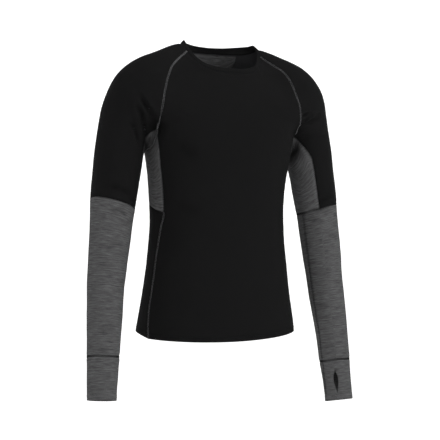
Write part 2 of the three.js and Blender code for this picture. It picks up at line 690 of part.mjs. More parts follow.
// A wall of cloth from a grid of surface points. Where slits is given, the first column opens between rows.
function clothGeometry(grid, { closed = false, slits = null } = {}) {
  const points = trimmed(grid, closed);
  const position = [];
  const add = (v) => position.push(v.x, v.y, v.z) / 3 - 1;
  const place = (p, n) => ({ outer: add(p), inner: add(p.clone().addScaledVector(n, -clothWall)), p });
  const mapped = points.map((row) => row.map(({ p, n }) => place(p, n)));
  const width = grid[0].length;
  // The slit's two lips: the first column's points are set apart along the ring
  const lips = points.map((row, i) => {
    const half = slits ? slits[i].halfWidth : null;
    if (!half) return { before: mapped[i][0], after: mapped[i][0] };
    const apart = (neighbour) => {
      const way = row[neighbour].p.clone().sub(row[0].p).normalize();
      return place(row[0].p.clone().addScaledVector(way, half), row[0].n);
    };
    return { before: apart(width - 1), after: apart(1) };
  });
  const quadCount = closed ? width : width - 1;
  const corner = (i, j) => {
    if (closed && j === 0) return lips[i].after;
    if (closed && j === width) return lips[i].before;
    return mapped[i][j];
  };
  const index = [];
  const face = (a, b, c) => index.push(a, b, c);
  // Which way round a quad goes so that its outer face looks out, judged at the middle of the grid
  const [m, w] = [Math.floor(grid.length / 2), Math.floor(width / 2)];
  const along = corner(m, w).p.clone().sub(corner(m - 1, w).p);
  const across = corner(m, w).p.clone().sub(corner(m, w - 1).p);
  const looksOut = along.cross(across).dot(points[m][w].n) > 0;
  const turned = (a, b, c) => (looksOut ? face(a, b, c) : face(a, c, b));
  // The wall at an edge is split the same way on both sides of a seam
  const wallStrip = (a, b) => {
    const fromA = a.p.x + a.p.y + a.p.z < b.p.x + b.p.y + b.p.z;
    turned(a.outer, a.inner, fromA ? b.inner : b.outer);
    turned(fromA ? a.outer : a.inner, b.inner, b.outer);
  };
  for (let i = 0; i < grid.length - 1; i++) {
    for (let j = 0; j < quadCount; j++) {
      const [a, b, c, d] = [corner(i, j), corner(i + 1, j), corner(i + 1, j + 1), corner(i, j + 1)];
      const shortAC = a.p.distanceToSquared(c.p) <= b.p.distanceToSquared(d.p);
      const halves = shortAC ? [[a, b, c], [a, c, d]] : [[a, b, d], [b, c, d]];
      for (const [u, v, w] of halves) {
        turned(u.outer, v.outer, w.outer);
        turned(u.inner, w.inner, v.inner);
      }
    }
    if (!closed) {
      wallStrip(corner(i, 0), corner(i + 1, 0));
      wallStrip(corner(i + 1, quadCount), corner(i, quadCount));
    }
    if (slits && (slits[i].halfWidth || slits[i + 1].halfWidth)) {
      wallStrip(lips[i].after, lips[i + 1].after);
      wallStrip(lips[i + 1].before, lips[i].before);
    }
  }
  const last = grid.length - 1;
  for (let j = 0; j < quadCount; j++) {
    wallStrip(corner(0, j + 1), corner(0, j));
    wallStrip(corner(last, j), corner(last, j + 1));
  }
  const geometry = new THREE.BufferGeometry();
  geometry.setAttribute("position", new THREE.Float32BufferAttribute(position, 3));
  geometry.setIndex(index);
  geometry.computeVertexNormals();
  return geometry;
}

const fineBlackJersey = new THREE.MeshStandardMaterial({ color: 0x17171a, roughness: 0.9, metalness: 0 });
const greyMelange = new THREE.MeshStandardMaterial({ color: 0x57585b, roughness: 0.92, metalness: 0 });

const garment = new THREE.Group();
function addPiece(name, grid, material, options) {
  const mesh = new THREE.Mesh(clothGeometry(grid, options), material);
  mesh.name = name;
  garment.add(mesh);
}
const mirrorGrid = (grid) => grid.map((row) => row.map(mirrored));

const frontPanel = bodyPanel(frontSide, frontRaglan, neckFront, hemZ.front, -1);
const backPanel = bodyPanel(backSide, backRaglan, neckBack, hemZ.back, 1);
addPiece("front_panel", slanted(frontPanel), fineBlackJersey);
addPiece("back_panel", slanted(backPanel), fineBlackJersey);
addPiece("neckband", neckband(), fineBlackJersey, { closed: true });
addPiece("neck_facing", neckFacing(), greyMelange);

const sideLower = sidePanel(frontSide.lower, backSide.lower, hemZ.middle, waistSeamZ.middle);
const sideUpper = sidePanel(
  frontSide.upper,
  backSide.upper,
  waistSeamZ.middle,
  armpitSeam[columns.underarm / 2].p.z,
  armpitSeam,
);
for (const side of ["left", "right"]) {
  const onSide = side === "left" ? (grid) => grid : mirrorGrid;
  const { upperSleeve, underarm, forearm, cuff } = sleevePieces(side);
  const foldSeam = folded(armpitSeam, sideUpper[rows.upper - 1], underarm[1]);
  underarm[0] = foldSeam;
  addPiece(`side_panel_lower_${side}`, slanted(onSide(sideLower)), fineBlackJersey);
  addPiece(`side_panel_upper_${side}`, onSide([...sideUpper.slice(0, -1), foldSeam]), greyMelange);
  addPiece(`sleeve_upper_${side}`, onSide(upperSleeve), fineBlackJersey);
  addPiece(`underarm_panel_${side}`, onSide(underarm), greyMelange);
  addPiece(`forearm_${side}`, onSide(forearm), greyMelange, { closed: true });
  addPiece(`cuff_${side}`, onSide(cuff), greyMelange, { closed: true, slits: thumbSlit });
}

export default garment;
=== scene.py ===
# A long-sleeved raglan base layer top in black jersey and grey melange, filled out as it is when worn.
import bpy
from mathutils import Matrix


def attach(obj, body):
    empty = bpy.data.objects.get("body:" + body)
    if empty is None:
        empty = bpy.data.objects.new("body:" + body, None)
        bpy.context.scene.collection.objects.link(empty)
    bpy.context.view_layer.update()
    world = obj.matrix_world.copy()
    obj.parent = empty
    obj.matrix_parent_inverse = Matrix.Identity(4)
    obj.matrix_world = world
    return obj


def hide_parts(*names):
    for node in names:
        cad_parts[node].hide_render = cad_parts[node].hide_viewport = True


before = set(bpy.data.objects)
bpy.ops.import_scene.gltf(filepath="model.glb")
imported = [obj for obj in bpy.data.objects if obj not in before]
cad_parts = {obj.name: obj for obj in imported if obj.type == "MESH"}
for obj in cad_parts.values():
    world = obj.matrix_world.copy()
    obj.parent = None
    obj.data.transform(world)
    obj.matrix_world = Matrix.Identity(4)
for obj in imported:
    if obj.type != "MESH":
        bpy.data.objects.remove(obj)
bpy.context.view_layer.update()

import math
import bpy
import numpy as np
from mathutils import Matrix, Vector

millimetre = 0.001
print("frame loaded:", len(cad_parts), "nodes")

# The form of the garment, in millimetres, as the construction has it. Each table has a row for each section.
torsoSections = {
    "z": [-720, -680, -643, -606, -552, -480, -407, -335, -280, -235, -195, -150, -110, -80, -50, -20, 10],
    "half": [189, 187, 184, 179, 171, 163, 157, 159, 165, 170, 172, 166, 148, 126, 98, 76, 62],
    "front": [130, 129, 127, 123, 118, 113, 111, 116, 120, 120, 115, 108, 95, 80, 67, 58, 50],
    "back": [126, 124, 122, 118, 112, 103, 98, 96, 100, 103, 106, 105, 100, 92, 80, 66, 57],
    "centre": [-9, -9, -9, -11, -12, -8, -4, 2, 3, 2, 0, 0, 0, 0, 0, 0, 0],
    "square": [2.1, 2.1, 2.1, 2.1, 2.1, 2.1, 2.15, 2.25, 2.4, 2.65, 2.9, 2.8, 2.5, 2.2, 2.1, 2, 2],
}
sleeveSections = {
    "x": [60, 100, 138, 173, 199, 215, 226, 235, 243, 251, 259, 266, 273, 279, 284, 288, 291],
    "y": [2, -2, -12, -14, -5, 4, 5, 1, -4, -10, -17, -25, -35, -47, -59, -71, -80],
    "z": [-56, -59, -79, -103, -127, -165, -210, -258, -308, -370, -440, -512, -585, -658, -731, -795, -845],
    "side": [46, 46, 51, 58, 59, 58, 56, 54, 52, 49, 46, 43, 40, 37, 34, 31.6, 31],
    "front": [30, 33, 47, 59, 63, 62, 59, 56, 53, 50, 46, 43, 40, 37, 34, 31.6, 31],
}
sleeveHang = {
    "left": {"turn": -25, "turnedZ": -264, "drop": 10, "fullness": -0.025},
    "right": {"turn": 25, "turnedZ": -310, "drop": -10, "fullness": 0.025},
}
fullest = {"belowZ": -240, "overZ": 50, "aboveZ": -440, "upTo": 80}
# Each crease: from, to, half width, depth
creases = {
    "left": [
        ((176, -66, -192), (224, -62, -163), 9, 3.6),
        ((178, -77, -177), (200, -71, -164), 7, 2.6),
    ],
    "right": [
        ((214, -66, -141), (194, -72, -170), 8, 3.4),
        ((194, -72, -170), (178, -60, -200), 9, 4),
        ((217, -64, -166), (201, -57, -197), 7, 2.6),
        ((228, -54, -194), (208, -48, -238), 8, 2.2),
    ],
}
blend = {
    "armpit": 22,
    "bridge": {"width": 100, "fromY": 20, "overY": 45, "fromZ": -236, "overZ": 62},
    "shoulder": {"width": 58, "fromZ": -165, "overZ": 70},
    "neck": {"width": 24, "fromZ": -75, "overZ": 40},
}
neckline = {
    "angle": [0, 25, 50, 76, 90, 106, 126, 152, 180],
    "x": [0, 40, 71, 91, 96, 90, 71, 39, 0],
    "y": [-80, -75, -56, -25, 2, 24, 46, 62, 68],
    "z": [-79, -76, -62, -32, -10, -13, -17, -19, -20],
    "edgeX": [0, 37, 66, 83, 86, 80, 64, 35, 0],
    "edgeY": [-74, -69, -51, -23, 1, 22, 42, 57, 62],
    "edgeZ": [-67, -65, -53, -25, -3, -3, -4, -6, -7],
}
raglanAngle = {"front": 76, "back": 126}
raglanFront = {
    "x": [91, 116, 140, 154, 163, 168, 171, 172],
    "y": [-25, -45, -60, -70, -78, -80, -69, -56],
    "z": [-32, -49, -72, -102, -134, -165, -193, -213],
}
raglanBack = {
    "x": [71, 98, 124, 146, 161, 169, 172],
    "y": [46, 60, 72, 80, 82, 74, 56],
    "z": [-17, -48, -80, -112, -146, -180, -213],
}
armpitSeamMiddle = (178, 0, -242)
facing = {"depth": 62, "topGap": 3, "span": 0.93, "roundness": 0.9, "backwards": 0.25, "inwards": 0.12}
sideSeams = {
    "z": [-680, -600, -495, -430, -385, -285, -216],
    "front": [20, 13.7, 15.4, 18, 23, 22.5, 21],
    "back": [20, 18, 18, 19, 21, 22, 22],
}
waistSeamZ = {"front": -391, "middle": -381, "back": -366}
hemSlant = {"rise": 7, "atX": 180, "fromZ": -540, "overZ": 110}
hemZ = {"front": -669, "frontSeam": -661, "middle": -653, "backSeam": -650, "back": -667}
middleArmpitZ = -225
elbowZ, cuffSeamZ, cuffEndZ = -374, -714, -805
elbowSlant, elbowSlantSteps = 8, 25
underarmPanel = {"front": 44, "back": 136}
armpitFold = {"seams": {"leaving": 6, "lag": 0}, "panel": {"leaving": 10, "lag": 45}}
thumbSlit = {
    "angle": 57,
    "down": [0, 0.13, 0.26, 0.34, 0.43, 0.52, 0.61, 0.7, 0.8, 0.9, 1],
    "halfWidth": [0, 0, 0, 3.7, 5.2, 5, 3.9, 2.2, 0, 0, 0],
    "radius": 32, "crowding": 40,
}
forearmSeamAngle = {"elbow": 96, "cuffSeam": 107, "cuffEnd": 120}

# How finely the cloth is divided
columns = {"front": 120, "back": 112, "sleeve": 92, "underarm": 32, "facing": 60}
rows = {
    "lower": 84, "upper": 54, "raglan": 84, "upperArm": 56,
    "forearm": 104, "cuff": 40, "band": 6, "facing": 24,
}


def mixed(a, b, t):
    return a + (b - a) * t


def smooth(t):
    t = np.clip(t, 0, 1)
    return t * t * (3 - 2 * t)


def unit(v):
    return v / np.maximum(np.linalg.norm(v, axis=-1, keepdims=True), 1e-12)


def column(table, name, t):  # a smooth curve through one column of a table, at a place t counted in rows
    values = np.asarray(table[name], float)
    last = len(values) - 1
    i = np.clip(np.floor(t).astype(int), 0, last - 1)
    before, start = values[np.maximum(i - 1, 0)], values[i]
    end, after = values[i + 1], values[np.minimum(i + 2, last)]
    u = np.clip(t - i, 0, 1)
    slopeStart, slopeEnd = (end - before) / 2, (after - start) / 2
    square = u * u * (3 * (end - start) - 2 * slopeStart - slopeEnd)
    return start + u * slopeStart + square + u**3 * (2 * (start - end) + slopeStart + slopeEnd)


def placeOf(table, name, value):  # the place in a table where a rising or falling column has a value
    value = np.asarray(value, float)
    rising = 1 if table[name][-1] > table[name][0] else -1
    low, high = np.zeros_like(value), np.full_like(value, len(table[name]) - 1)
    for _ in range(40):
        middle = (low + high) / 2
        short = (column(table, name, middle) - value) * rising < 0
        low, high = np.where(short, middle, low), np.where(short, high, middle)
    return (low + high) / 2


def tablePoint(table, t):
    return np.stack([column(table, name, t) for name in "xyz"], axis=-1)


def lastPlace(table):
    return len(table["z"]) - 1


torsoLevels = np.linspace(torsoSections["z"][0], torsoSections["z"][-1], 501)
torsoPlaces = placeOf(torsoSections, "z", torsoLevels)
torsoColumns = {name: column(torsoSections, name, torsoPlaces) for name in torsoSections if name != "z"}


def torsoAt(z):
    return {name: np.interp(z, torsoLevels, values) for name, values in torsoColumns.items()}


def torsoDistance(p):
    s = torsoAt(p[:, 2])
    y = p[:, 1] - s["centre"]
    depth = np.where(y < 0, s["front"], s["back"])
    ratio = np.abs(p[:, 0] / s["half"]) ** s["square"] + np.abs(y / depth) ** s["square"]
    ratio = np.maximum(ratio ** (1 / s["square"]), 1e-6)
    return np.hypot(p[:, 0], y) * (1 - 1 / ratio)


sleeveSteps = 200


class SleeveLine:  # a sleeve's centre line as short straight steps, with its frame and radii
    def __init__(self, hang):
        t = np.linspace(0, lastPlace(sleeveSections), sleeveSteps + 1)
        centre = tablePoint(sleeveSections, t)
        full = smooth((centre[:, 2] - fullest["aboveZ"]) / fullest["upTo"])
        full = 1 + hang["fullness"] * full * smooth((fullest["belowZ"] - centre[:, 2]) / fullest["overZ"])
        elbow, wrist = placeOf(sleeveSections, "z", elbowZ), placeOf(sleeveSections, "z", cuffEndZ)
        centre[:, 2] -= hang["drop"] * np.maximum(0, (t - elbow) / (wrist - elbow))
        self.centre = centre
        self.side = column(sleeveSections, "side", t) * full
        self.front = column(sleeveSections, "front", t) * full
        k = np.arange(sleeveSteps + 1)
        along = unit(centre[np.minimum(k + 1, sleeveSteps)] - centre[np.maximum(k - 1, 0)])
        self.out = unit(np.stack([-along[:, 2], np.zeros(len(k)), along[:, 0]], axis=-1))
        self.forward = unit(np.cross(along, self.out))

    def at(self, t):
        t = np.asarray(t, float)
        i = np.clip(np.floor(t).astype(int), 0, sleeveSteps - 1)
        u = t - i
        between = lambda v: mixed(v[i], v[i + 1], u if v.ndim == 1 else u[..., None])
        return (between(self.centre), unit(between(self.out)), unit(between(self.forward)),
                between(self.side), between(self.front))

    def place(self, z):
        k = int(np.argmax(self.centre[:, 2] < z))
        above, below = self.centre[k - 1, 2], self.centre[k, 2]
        return k - 1 + (above - z) / (above - below)

    def distance(self, p):
        square = (self.centre**2).sum(-1)[None] - 2 * p @ self.centre.T
        i = np.clip(square.argmin(-1) - 1, 0, sleeveSteps - 1)
        j = np.minimum(i + 2, sleeveSteps)
        chord = self.centre[j] - self.centre[i]
        share = np.clip(((p - self.centre[i]) * chord).sum(-1) / (chord**2).sum(-1), 0, 1)
        centre, out, forward, side, front = self.at(i + share * (j - i))
        q = p - centre
        across, ahead = (q * out).sum(-1), (q * forward).sum(-1)
        rest = np.linalg.norm(q - out * across[:, None] - forward * ahead[:, None], axis=-1)
        ratio = np.sqrt((across / side) ** 2 + (ahead / front) ** 2 + (rest / side) ** 2)
        return np.linalg.norm(q, axis=-1) * (1 - 1 / np.maximum(ratio, 1e-6))


def offSegment(p, start, end):  # distance from a straight stretch, and the share along it
    start, end = np.array(start, float), np.array(end, float)
    t = np.clip((p - start) @ (end - start) / ((end - start) ** 2).sum(), 0, 1)
    return np.linalg.norm(p - start - t[..., None] * (end - start), axis=-1), t


def offLine(p, line):  # distance from a line of short straight stretches
    nearest = ((p**2).sum(-1)[:, None] - 2 * p @ line.T + (line**2).sum(-1)[None]).argmin(-1)
    best = np.full(len(p), np.inf)
    for k in (np.maximum(nearest - 1, 0), np.minimum(nearest, len(line) - 2)):
        start, way = line[k], line[k + 1] - line[k]
        t = np.clip(((p - start) * way).sum(-1) / (way**2).sum(-1), 0, 1)
        best = np.minimum(best, np.linalg.norm(p - start - t[:, None] * way, axis=-1))
    return best


class Surface:  # the outer surface of the cloth with one sleeve, worked out on the wearer's left
    def __init__(self, side):
        self.line = SleeveLine(sleeveHang[side])
        self.creases = creases[side]

    def distance(self, p):
        q = np.stack([np.abs(p[:, 0]), p[:, 1], p[:, 2]], axis=-1)
        bridge, shoulder, neck = blend["bridge"], blend["shoulder"], blend["neck"]
        above = lambda part: smooth((q[:, 2] - part["fromZ"]) / part["overZ"])
        bridging = smooth((np.abs(q[:, 1]) - bridge["fromY"]) / bridge["overY"]) * above(bridge)
        low = mixed(blend["armpit"], bridge["width"], bridging)
        high = mixed(shoulder["width"], neck["width"], above(neck))
        width = mixed(low, high, above(shoulder))
        a, b = torsoDistance(q), self.line.distance(q)
        near = np.maximum(width - np.abs(a - b), 0) / width
        sunk = 0
        for start, end, halfWidth, depth in self.creases:
            off, _ = offSegment(q, start, end)
            sunk = np.maximum(sunk, depth * np.exp(-((off / halfWidth) ** 2)))
        return np.minimum(a, b) - near * near * width / 4 + sunk

    def slope(self, p, step=0.5):
        total = np.zeros_like(p)
        for corner in ((1, -1, -1), (-1, -1, 1), (-1, 1, -1), (1, 1, 1)):
            way = np.array(corner, float)
            total += self.distance(p + step * way)[:, None] * way
        return total / (4 * step)

    def settle(self, guess, steps=8):  # moves points onto the surface
        shape = guess.shape
        p = guess.reshape(-1, 3).astype(float).copy()
        far = np.arange(len(p))
        for _ in range(steps):
            q = p[far]
            off = self.distance(q)
            far = far[np.abs(off) > 0.01]
            if not len(far):
                break
            q, off = q[np.abs(off) > 0.01], off[np.abs(off) > 0.01]
            g = self.slope(q)
            p[far] = q - g * (off / np.maximum((g**2).sum(-1), 0.05))[:, None]
        return p.reshape(shape)

    def normals(self, p):
        return unit(self.slope(p.reshape(-1, 3))).reshape(p.shape)


surfaces = {side: Surface(side) for side in ("left", "right")}
torso = surfaces["left"]  # seams on the torso are worked out on the left and mirrored
mirror = np.array([-1.0, 1, 1])


def evenly(count):
    return np.linspace(0, 1, count + 1)


def arc(start, through, end, count):  # round arcs through three points each, the middle one at half way
    start, through, end = np.broadcast_arrays(start, through, end)
    a, b = start - through, end - through
    normal = np.cross(a, b)
    centre = np.cross(b * (a**2).sum(-1, keepdims=True) - a * (b**2).sum(-1, keepdims=True), normal)
    centre = centre / (2 * (normal**2).sum(-1, keepdims=True)) + through
    axis, spoke = unit(normal), through - centre

    def turn(tip):
        ray = tip - centre
        return np.arctan2((np.cross(spoke, ray) * axis).sum(-1), (spoke * ray).sum(-1))

    u = 2 * evenly(count) - 1
    angle = np.where(u < 0, -u * turn(start)[..., None], u * turn(end)[..., None])[..., None]
    sideways = np.cross(axis, spoke)
    return centre[..., None, :] + spoke[..., None, :] * np.cos(angle) + sideways[..., None, :] * np.sin(angle)


def bentArc(start, through, end, edge, share):  # the same arcs bent by a share to follow a given edge
    count = len(edge) - 1
    flat = arc(edge[0], edge[count // 2], edge[count], count)
    return arc(start, through, end, count) + (edge - flat) * np.asarray(share)[:, None, None]


def torsoPoint(angle, z):
    s = torsoAt(z)
    turn = np.radians(angle)
    y = s["centre"] - np.where(np.asarray(angle) > 0, s["front"], s["back"]) * np.sin(turn)
    return np.stack(np.broadcast_arrays(s["half"] * np.cos(turn), y, z), axis=-1)


def necklinePoint(angle):  # angles past 180 or below 0 are on the wearer's right
    angle = np.asarray(angle, float)
    right = (angle < 0) | (angle > 180)
    t = placeOf(neckline, "angle", np.where(angle > 180, 360 - angle, np.abs(angle)))
    found = torso.settle(tablePoint(neckline, t))
    return np.where(right[..., None], found * mirror, found)


def bandEdgePoint(angle):
    angle = np.asarray(angle, float)
    right = (angle < 0) | (angle > 180)
    t = placeOf(neckline, "angle", np.where(angle > 180, 360 - angle, np.abs(angle)))
    found = np.stack([column(neckline, name, t) for name in ("edgeX", "edgeY", "edgeZ")], axis=-1)
    return np.where(right[..., None], found * mirror, found)


armpitEnds = {
    "front": torso.settle(tablePoint(raglanFront, np.array([float(lastPlace(raglanFront))])))[0],
    "back": torso.settle(tablePoint(raglanBack, np.array([float(lastPlace(raglanBack))])))[0],
}


def sideSeam(name, sign, seamHemZ, seamWaistZ):
    top = armpitEnds[name]
    angle = lambda z: sign * column(sideSeams, name, placeOf(sideSeams, "z", z))
    z = mixed(seamHemZ, seamWaistZ, evenly(rows["lower"]))
    lower = torso.settle(torsoPoint(angle(z), z))
    topZ = np.array([top[2]])
    shift = top - torso.settle(torsoPoint(angle(topZ), topZ))[0]
    u = evenly(rows["upper"])
    z = mixed(seamWaistZ, top[2], u)
    upper = torso.settle(torso.settle(torsoPoint(angle(z), z)) + shift * (u**4)[:, None])
    upper[-1] = top
    return lower, upper


def raglanSeam(table, neckEnd, armpitEnd):
    seam = torso.settle(tablePoint(table, evenly(rows["raglan"]) * lastPlace(table)))
    seam[0], seam[-1] = neckEnd, armpitEnd
    return seam


frontSide = sideSeam("front", 1, hemZ["frontSeam"], waistSeamZ["front"])
backSide = sideSeam("back", -1, hemZ["backSeam"], waistSeamZ["back"])
neckFront = necklinePoint(mixed(-raglanAngle["front"], raglanAngle["front"], evenly(columns["front"])))
backSpread = 180 - raglanAngle["back"]
neckBack = necklinePoint(180 - mixed(-backSpread, backSpread, evenly(columns["back"])))
neckSleeve = necklinePoint(mixed(raglanAngle["front"], raglanAngle["back"], evenly(columns["sleeve"])))
frontRaglan = raglanSeam(raglanFront, neckFront[-1], armpitEnds["front"])
backRaglan = raglanSeam(raglanBack, neckBack[-1], armpitEnds["back"])
armpitMiddle = torso.settle(np.array([armpitSeamMiddle], float))[0]
armpitSeam = torso.settle(arc(armpitEnds["front"], armpitMiddle, armpitEnds["back"], columns["underarm"]))
armpitSeam[0], armpitSeam[-1] = armpitEnds["front"], armpitEnds["back"]


# From the hem up, each row from the wearer's right to left
def bodyPanel(side, raglan, neck, middleHemZ, sign):
    edge = np.concatenate([side[0], side[1][1:], raglan[:-1][::-1]])
    levels, below = len(edge) - 1, rows["lower"] + rows["upper"]
    i = np.arange(levels + 1)
    rise = np.clip((i - below) / (levels - below), 0, 1)
    top = neck[(len(neck) - 1) // 2]
    z = np.where(i <= below, mixed(middleHemZ, middleArmpitZ, i / below), mixed(middleArmpitZ, top[2], rise))
    s = torsoAt(z)
    y = s["centre"] + sign * (s["front"] if sign < 0 else s["back"])
    middle = torso.settle(np.stack([np.zeros(levels + 1), y, z], axis=-1))
    grid = torso.settle(bentArc(edge * mirror, middle, edge, neck, rise**2))
    grid[:, 0], grid[:, -1], grid[-1] = edge * mirror, edge, neck
    return grid


def sidePanel(front, back, middleFrom, middleTo, lastRow=None):
    z = mixed(middleFrom, middleTo, evenly(len(front) - 1))
    middle = torso.settle(torsoPoint(0, z))
    grid = arc(front, middle, back, columns["underarm"])
    if lastRow is not None:
        near = evenly(len(front) - 1) ** 4
        grid = grid + (lastRow - grid[-1]) * near[:, None, None]
    grid = torso.settle(grid)
    grid[:, 0], grid[:, -1] = front, back
    return grid


def sleevePieces(side):  # the pieces of one sleeve, all on the wearer's left
    surface, hang = surfaces[side], sleeveHang[side]
    line, turn = surface.line, hang["turn"]
    elbowPlace = line.place(elbowZ)
    step = np.linalg.norm(line.centre[int(elbowPlace) + 1] - line.centre[int(elbowPlace)])

    def around(place, angle):
        place, turned = np.broadcast_arrays(np.asarray(place, float), np.radians(angle))
        aslant = smooth(1 - np.abs(place - elbowPlace) / elbowSlantSteps) * np.sin(turned)
        centre, out, forward, radius, ahead = line.at(place + elbowSlant / step * aslant)
        onward, outward = ahead * np.cos(turned), radius * np.sin(turned)
        return centre + forward * onward[..., None] - out * outward[..., None]

    def underarmColumn(p, k):
        start = line.place(p[2])
        centre, out, forward, radius, ahead = line.at(start)
        q = p - centre
        startAngle = math.degrees(math.atan2(-q @ out / radius, q @ forward / ahead))
        endAngle = mixed(underarmPanel["front"], underarmPanel["back"], k / columns["underarm"]) + turn
        fold = armpitFold["seams" if k in (0, columns["underarm"]) else "panel"]
        u = evenly(rows["upperArm"])
        place = mixed(start, elbowPlace, u)
        turnedPlace = line.place(hang["turnedZ"] - fold["lag"])
        angle = mixed(startAngle, endAngle, smooth((place - start) / (turnedPlace - start)))
        points = surface.settle(around(place, angle))
        return surface.settle(points + (p - points[0]) * ((1 - u) ** fold["leaving"])[:, None])

    underarm = np.stack([underarmColumn(p, k) for k, p in enumerate(armpitSeam)], axis=1)
    underarm[0] = armpitSeam
    front, back = underarm[:, 0], underarm[:, -1]

    armpitPlace, settled = line.place(armpitEnds["front"][2]), line.place(hang["turnedZ"])
    capMiddle = neckSleeve[columns["sleeve"] // 2]
    neckPlace = int(np.argmax(line.centre[:, 0] > capMiddle[0]))
    over, under = evenly(rows["raglan"]), evenly(rows["upperArm"])[1:]
    place = np.concatenate([mixed(neckPlace, armpitPlace, over), mixed(armpitPlace, elbowPlace, under)])
    turned = turn * smooth((place - armpitPlace) / (settled - armpitPlace))
    middle = surface.settle(around(place, 270 + turned))
    near = np.concatenate([1 - over, 0 * under])
    middle = middle + (capMiddle - middle[0]) * (near**4)[:, None]
    frontEdge, backEdge = np.concatenate([frontRaglan, front[1:]]), np.concatenate([backRaglan, back[1:]])
    upperSleeve = surface.settle(bentArc(frontEdge, middle, backEdge, neckSleeve, near**2))
    upperSleeve[:, 0], upperSleeve[:, -1], upperSleeve[0] = frontEdge, backEdge, neckSleeve

    elbowRing = np.concatenate([upperSleeve[-1], underarm[-1][1:-1][::-1], upperSleeve[-1][:1]])
    span = underarmPanel["back"] - underarmPanel["front"]
    swept = np.concatenate([-(360 - span) * evenly(columns["sleeve"]),
                            span - 360 - span * evenly(columns["underarm"])[1:]])
    angles = underarmPanel["front"] + turn + swept
    cuffSeam, cuffEnd = line.place(cuffSeamZ - hang["drop"]), line.place(cuffEndZ - hang["drop"])
    u = evenly(rows["forearm"])
    forearm = around(mixed(elbowPlace, cuffSeam, u)[:, None], angles[None])
    forearm = surface.settle(forearm + (elbowRing - forearm[0]) * ((1 - u) ** 4)[:, None, None])
    forearm[0] = elbowRing
    forearm[:, -1] = forearm[:, 0]
    v = evenly(rows["cuff"])
    # the ring parts at its first column for the thumb slit, and the cloth beside the slit crowds together
    part = np.degrees(np.interp(v, thumbSlit["down"], thumbSlit["halfWidth"]) / thumbSlit["radius"])
    crowded = np.clip(1 - np.array([-swept, swept + 360]) / thumbSlit["crowding"], 0, 1) ** 2
    slitTurn = thumbSlit["angle"] - underarmPanel["front"]
    opened = angles[None] + slitTurn + part[:, None] * (crowded[1] - crowded[0])[None]
    cuff = surface.settle(around(mixed(cuffSeam, cuffEnd, v)[:, None], opened))
    closedRows = part == 0
    cuff[closedRows, -1] = cuff[closedRows, 0]
    along = evenly(rows["forearm"])
    place = mixed(elbowPlace, cuffEnd, along)
    seamAngle = np.interp(place, [elbowPlace, cuffSeam, cuffEnd], list(forearmSeamAngle.values()))
    longSeam = around(place, turn + seamAngle)
    pieces = {"sleeve_upper": upperSleeve, "underarm_panel": underarm, "forearm": forearm, "cuff": cuff}
    return pieces, surface.settle(longSeam)


bodyGrids = {
    "front_panel": bodyPanel(frontSide, frontRaglan, neckFront, hemZ["front"], -1),
    "back_panel": bodyPanel(backSide, backRaglan, neckBack, hemZ["back"], 1),
    "side_panel_lower": sidePanel(frontSide[0], backSide[0], hemZ["middle"], waistSeamZ["middle"]),
    "side_panel_upper": sidePanel(frontSide[1], backSide[1], waistSeamZ["middle"],
                                  armpitSeam[columns["underarm"] // 2][2], armpitSeam),
}
sleeveGrids, longSeams = {}, {}
for side in ("left", "right"):
    sleeveGrids[side], longSeams[side] = sleevePieces(side)


def neckRing():  # the neckband, sewn edge first, round the whole neck from the front raglan seam on the right
    sleeveAngles = mixed(raglanAngle["front"], raglanAngle["back"], evenly(columns["sleeve"]))
    frontAngles = mixed(-raglanAngle["front"], raglanAngle["front"], evenly(columns["front"]))
    backAngles = mixed(raglanAngle["back"], 360 - raglanAngle["back"], evenly(columns["back"]))
    angles = np.concatenate([frontAngles[:-1], sleeveAngles[:-1], backAngles[:-1], 360 - sleeveAngles[::-1]])
    sewn, free = necklinePoint(angles), bandEdgePoint(angles)
    sewn[-1], free[-1] = sewn[0], free[0]
    ring = free[:-1]
    around = np.roll(ring, -1, 0) - np.roll(ring, 1, 0)
    n = unit(np.cross(np.concatenate([around, around[:1]]), free - sewn))
    grid = mixed(sewn[None], free[None], evenly(rows["band"])[:, None, None])
    return grid, np.broadcast_to(n, grid.shape).copy()


def facingGrid():  # the half moon behind the back panel, from the neckline down
    spread = mixed(-1, 1, evenly(columns["facing"]))
    top = necklinePoint(180 - (180 - raglanAngle["back"]) * facing["span"] * np.abs(spread))
    depth = mixed(facing["topGap"], facing["depth"] * np.sqrt(1 - facing["roundness"] * spread**4),
                  evenly(rows["facing"])[:, None])
    none = 0 * spread
    down = np.stack([-facing["inwards"] * np.abs(spread), none + facing["backwards"], none - 1], axis=-1)
    grid = torso.settle(top[None] + down[None] * depth[..., None])
    grid[:, spread < 0] *= mirror
    return grid


# Relief of the worn cloth, in millimetres on the garment: creases, swells and seams
class Weave:  # even, seeded unevenness over space, from many plane waves
    def __init__(self, seed, longest, shortest, count=26):
        dice = np.random.default_rng(seed)
        ways = unit(dice.normal(size=(count, 3)))
        self.ways = ways * 2 * math.pi / dice.uniform(shortest, longest, (count, 1))
        self.starts = dice.uniform(0, 2 * math.pi, count)

    def at(self, p):
        return np.sin(p @ self.ways.T + self.starts).sum(-1) / math.sqrt(len(self.starts) / 2)


cloth = {
    "swell": 0.45, "unevenness": 0.07, "pucker": 0.22, "puckerReach": 8,
    "seamDip": 0.55, "seamDipWidth": 3.2, "seamSwell": 0.3, "seamSwellAt": 8,
    "ridge": 0.3, "jersey": 0.95, "hem": 1.8, "band": 2.0, "facing": 0.9,
}
swells, unevenness, puckers = Weave(3, 140, 70), Weave(8, 34, 16), Weave(21, 26, 12)
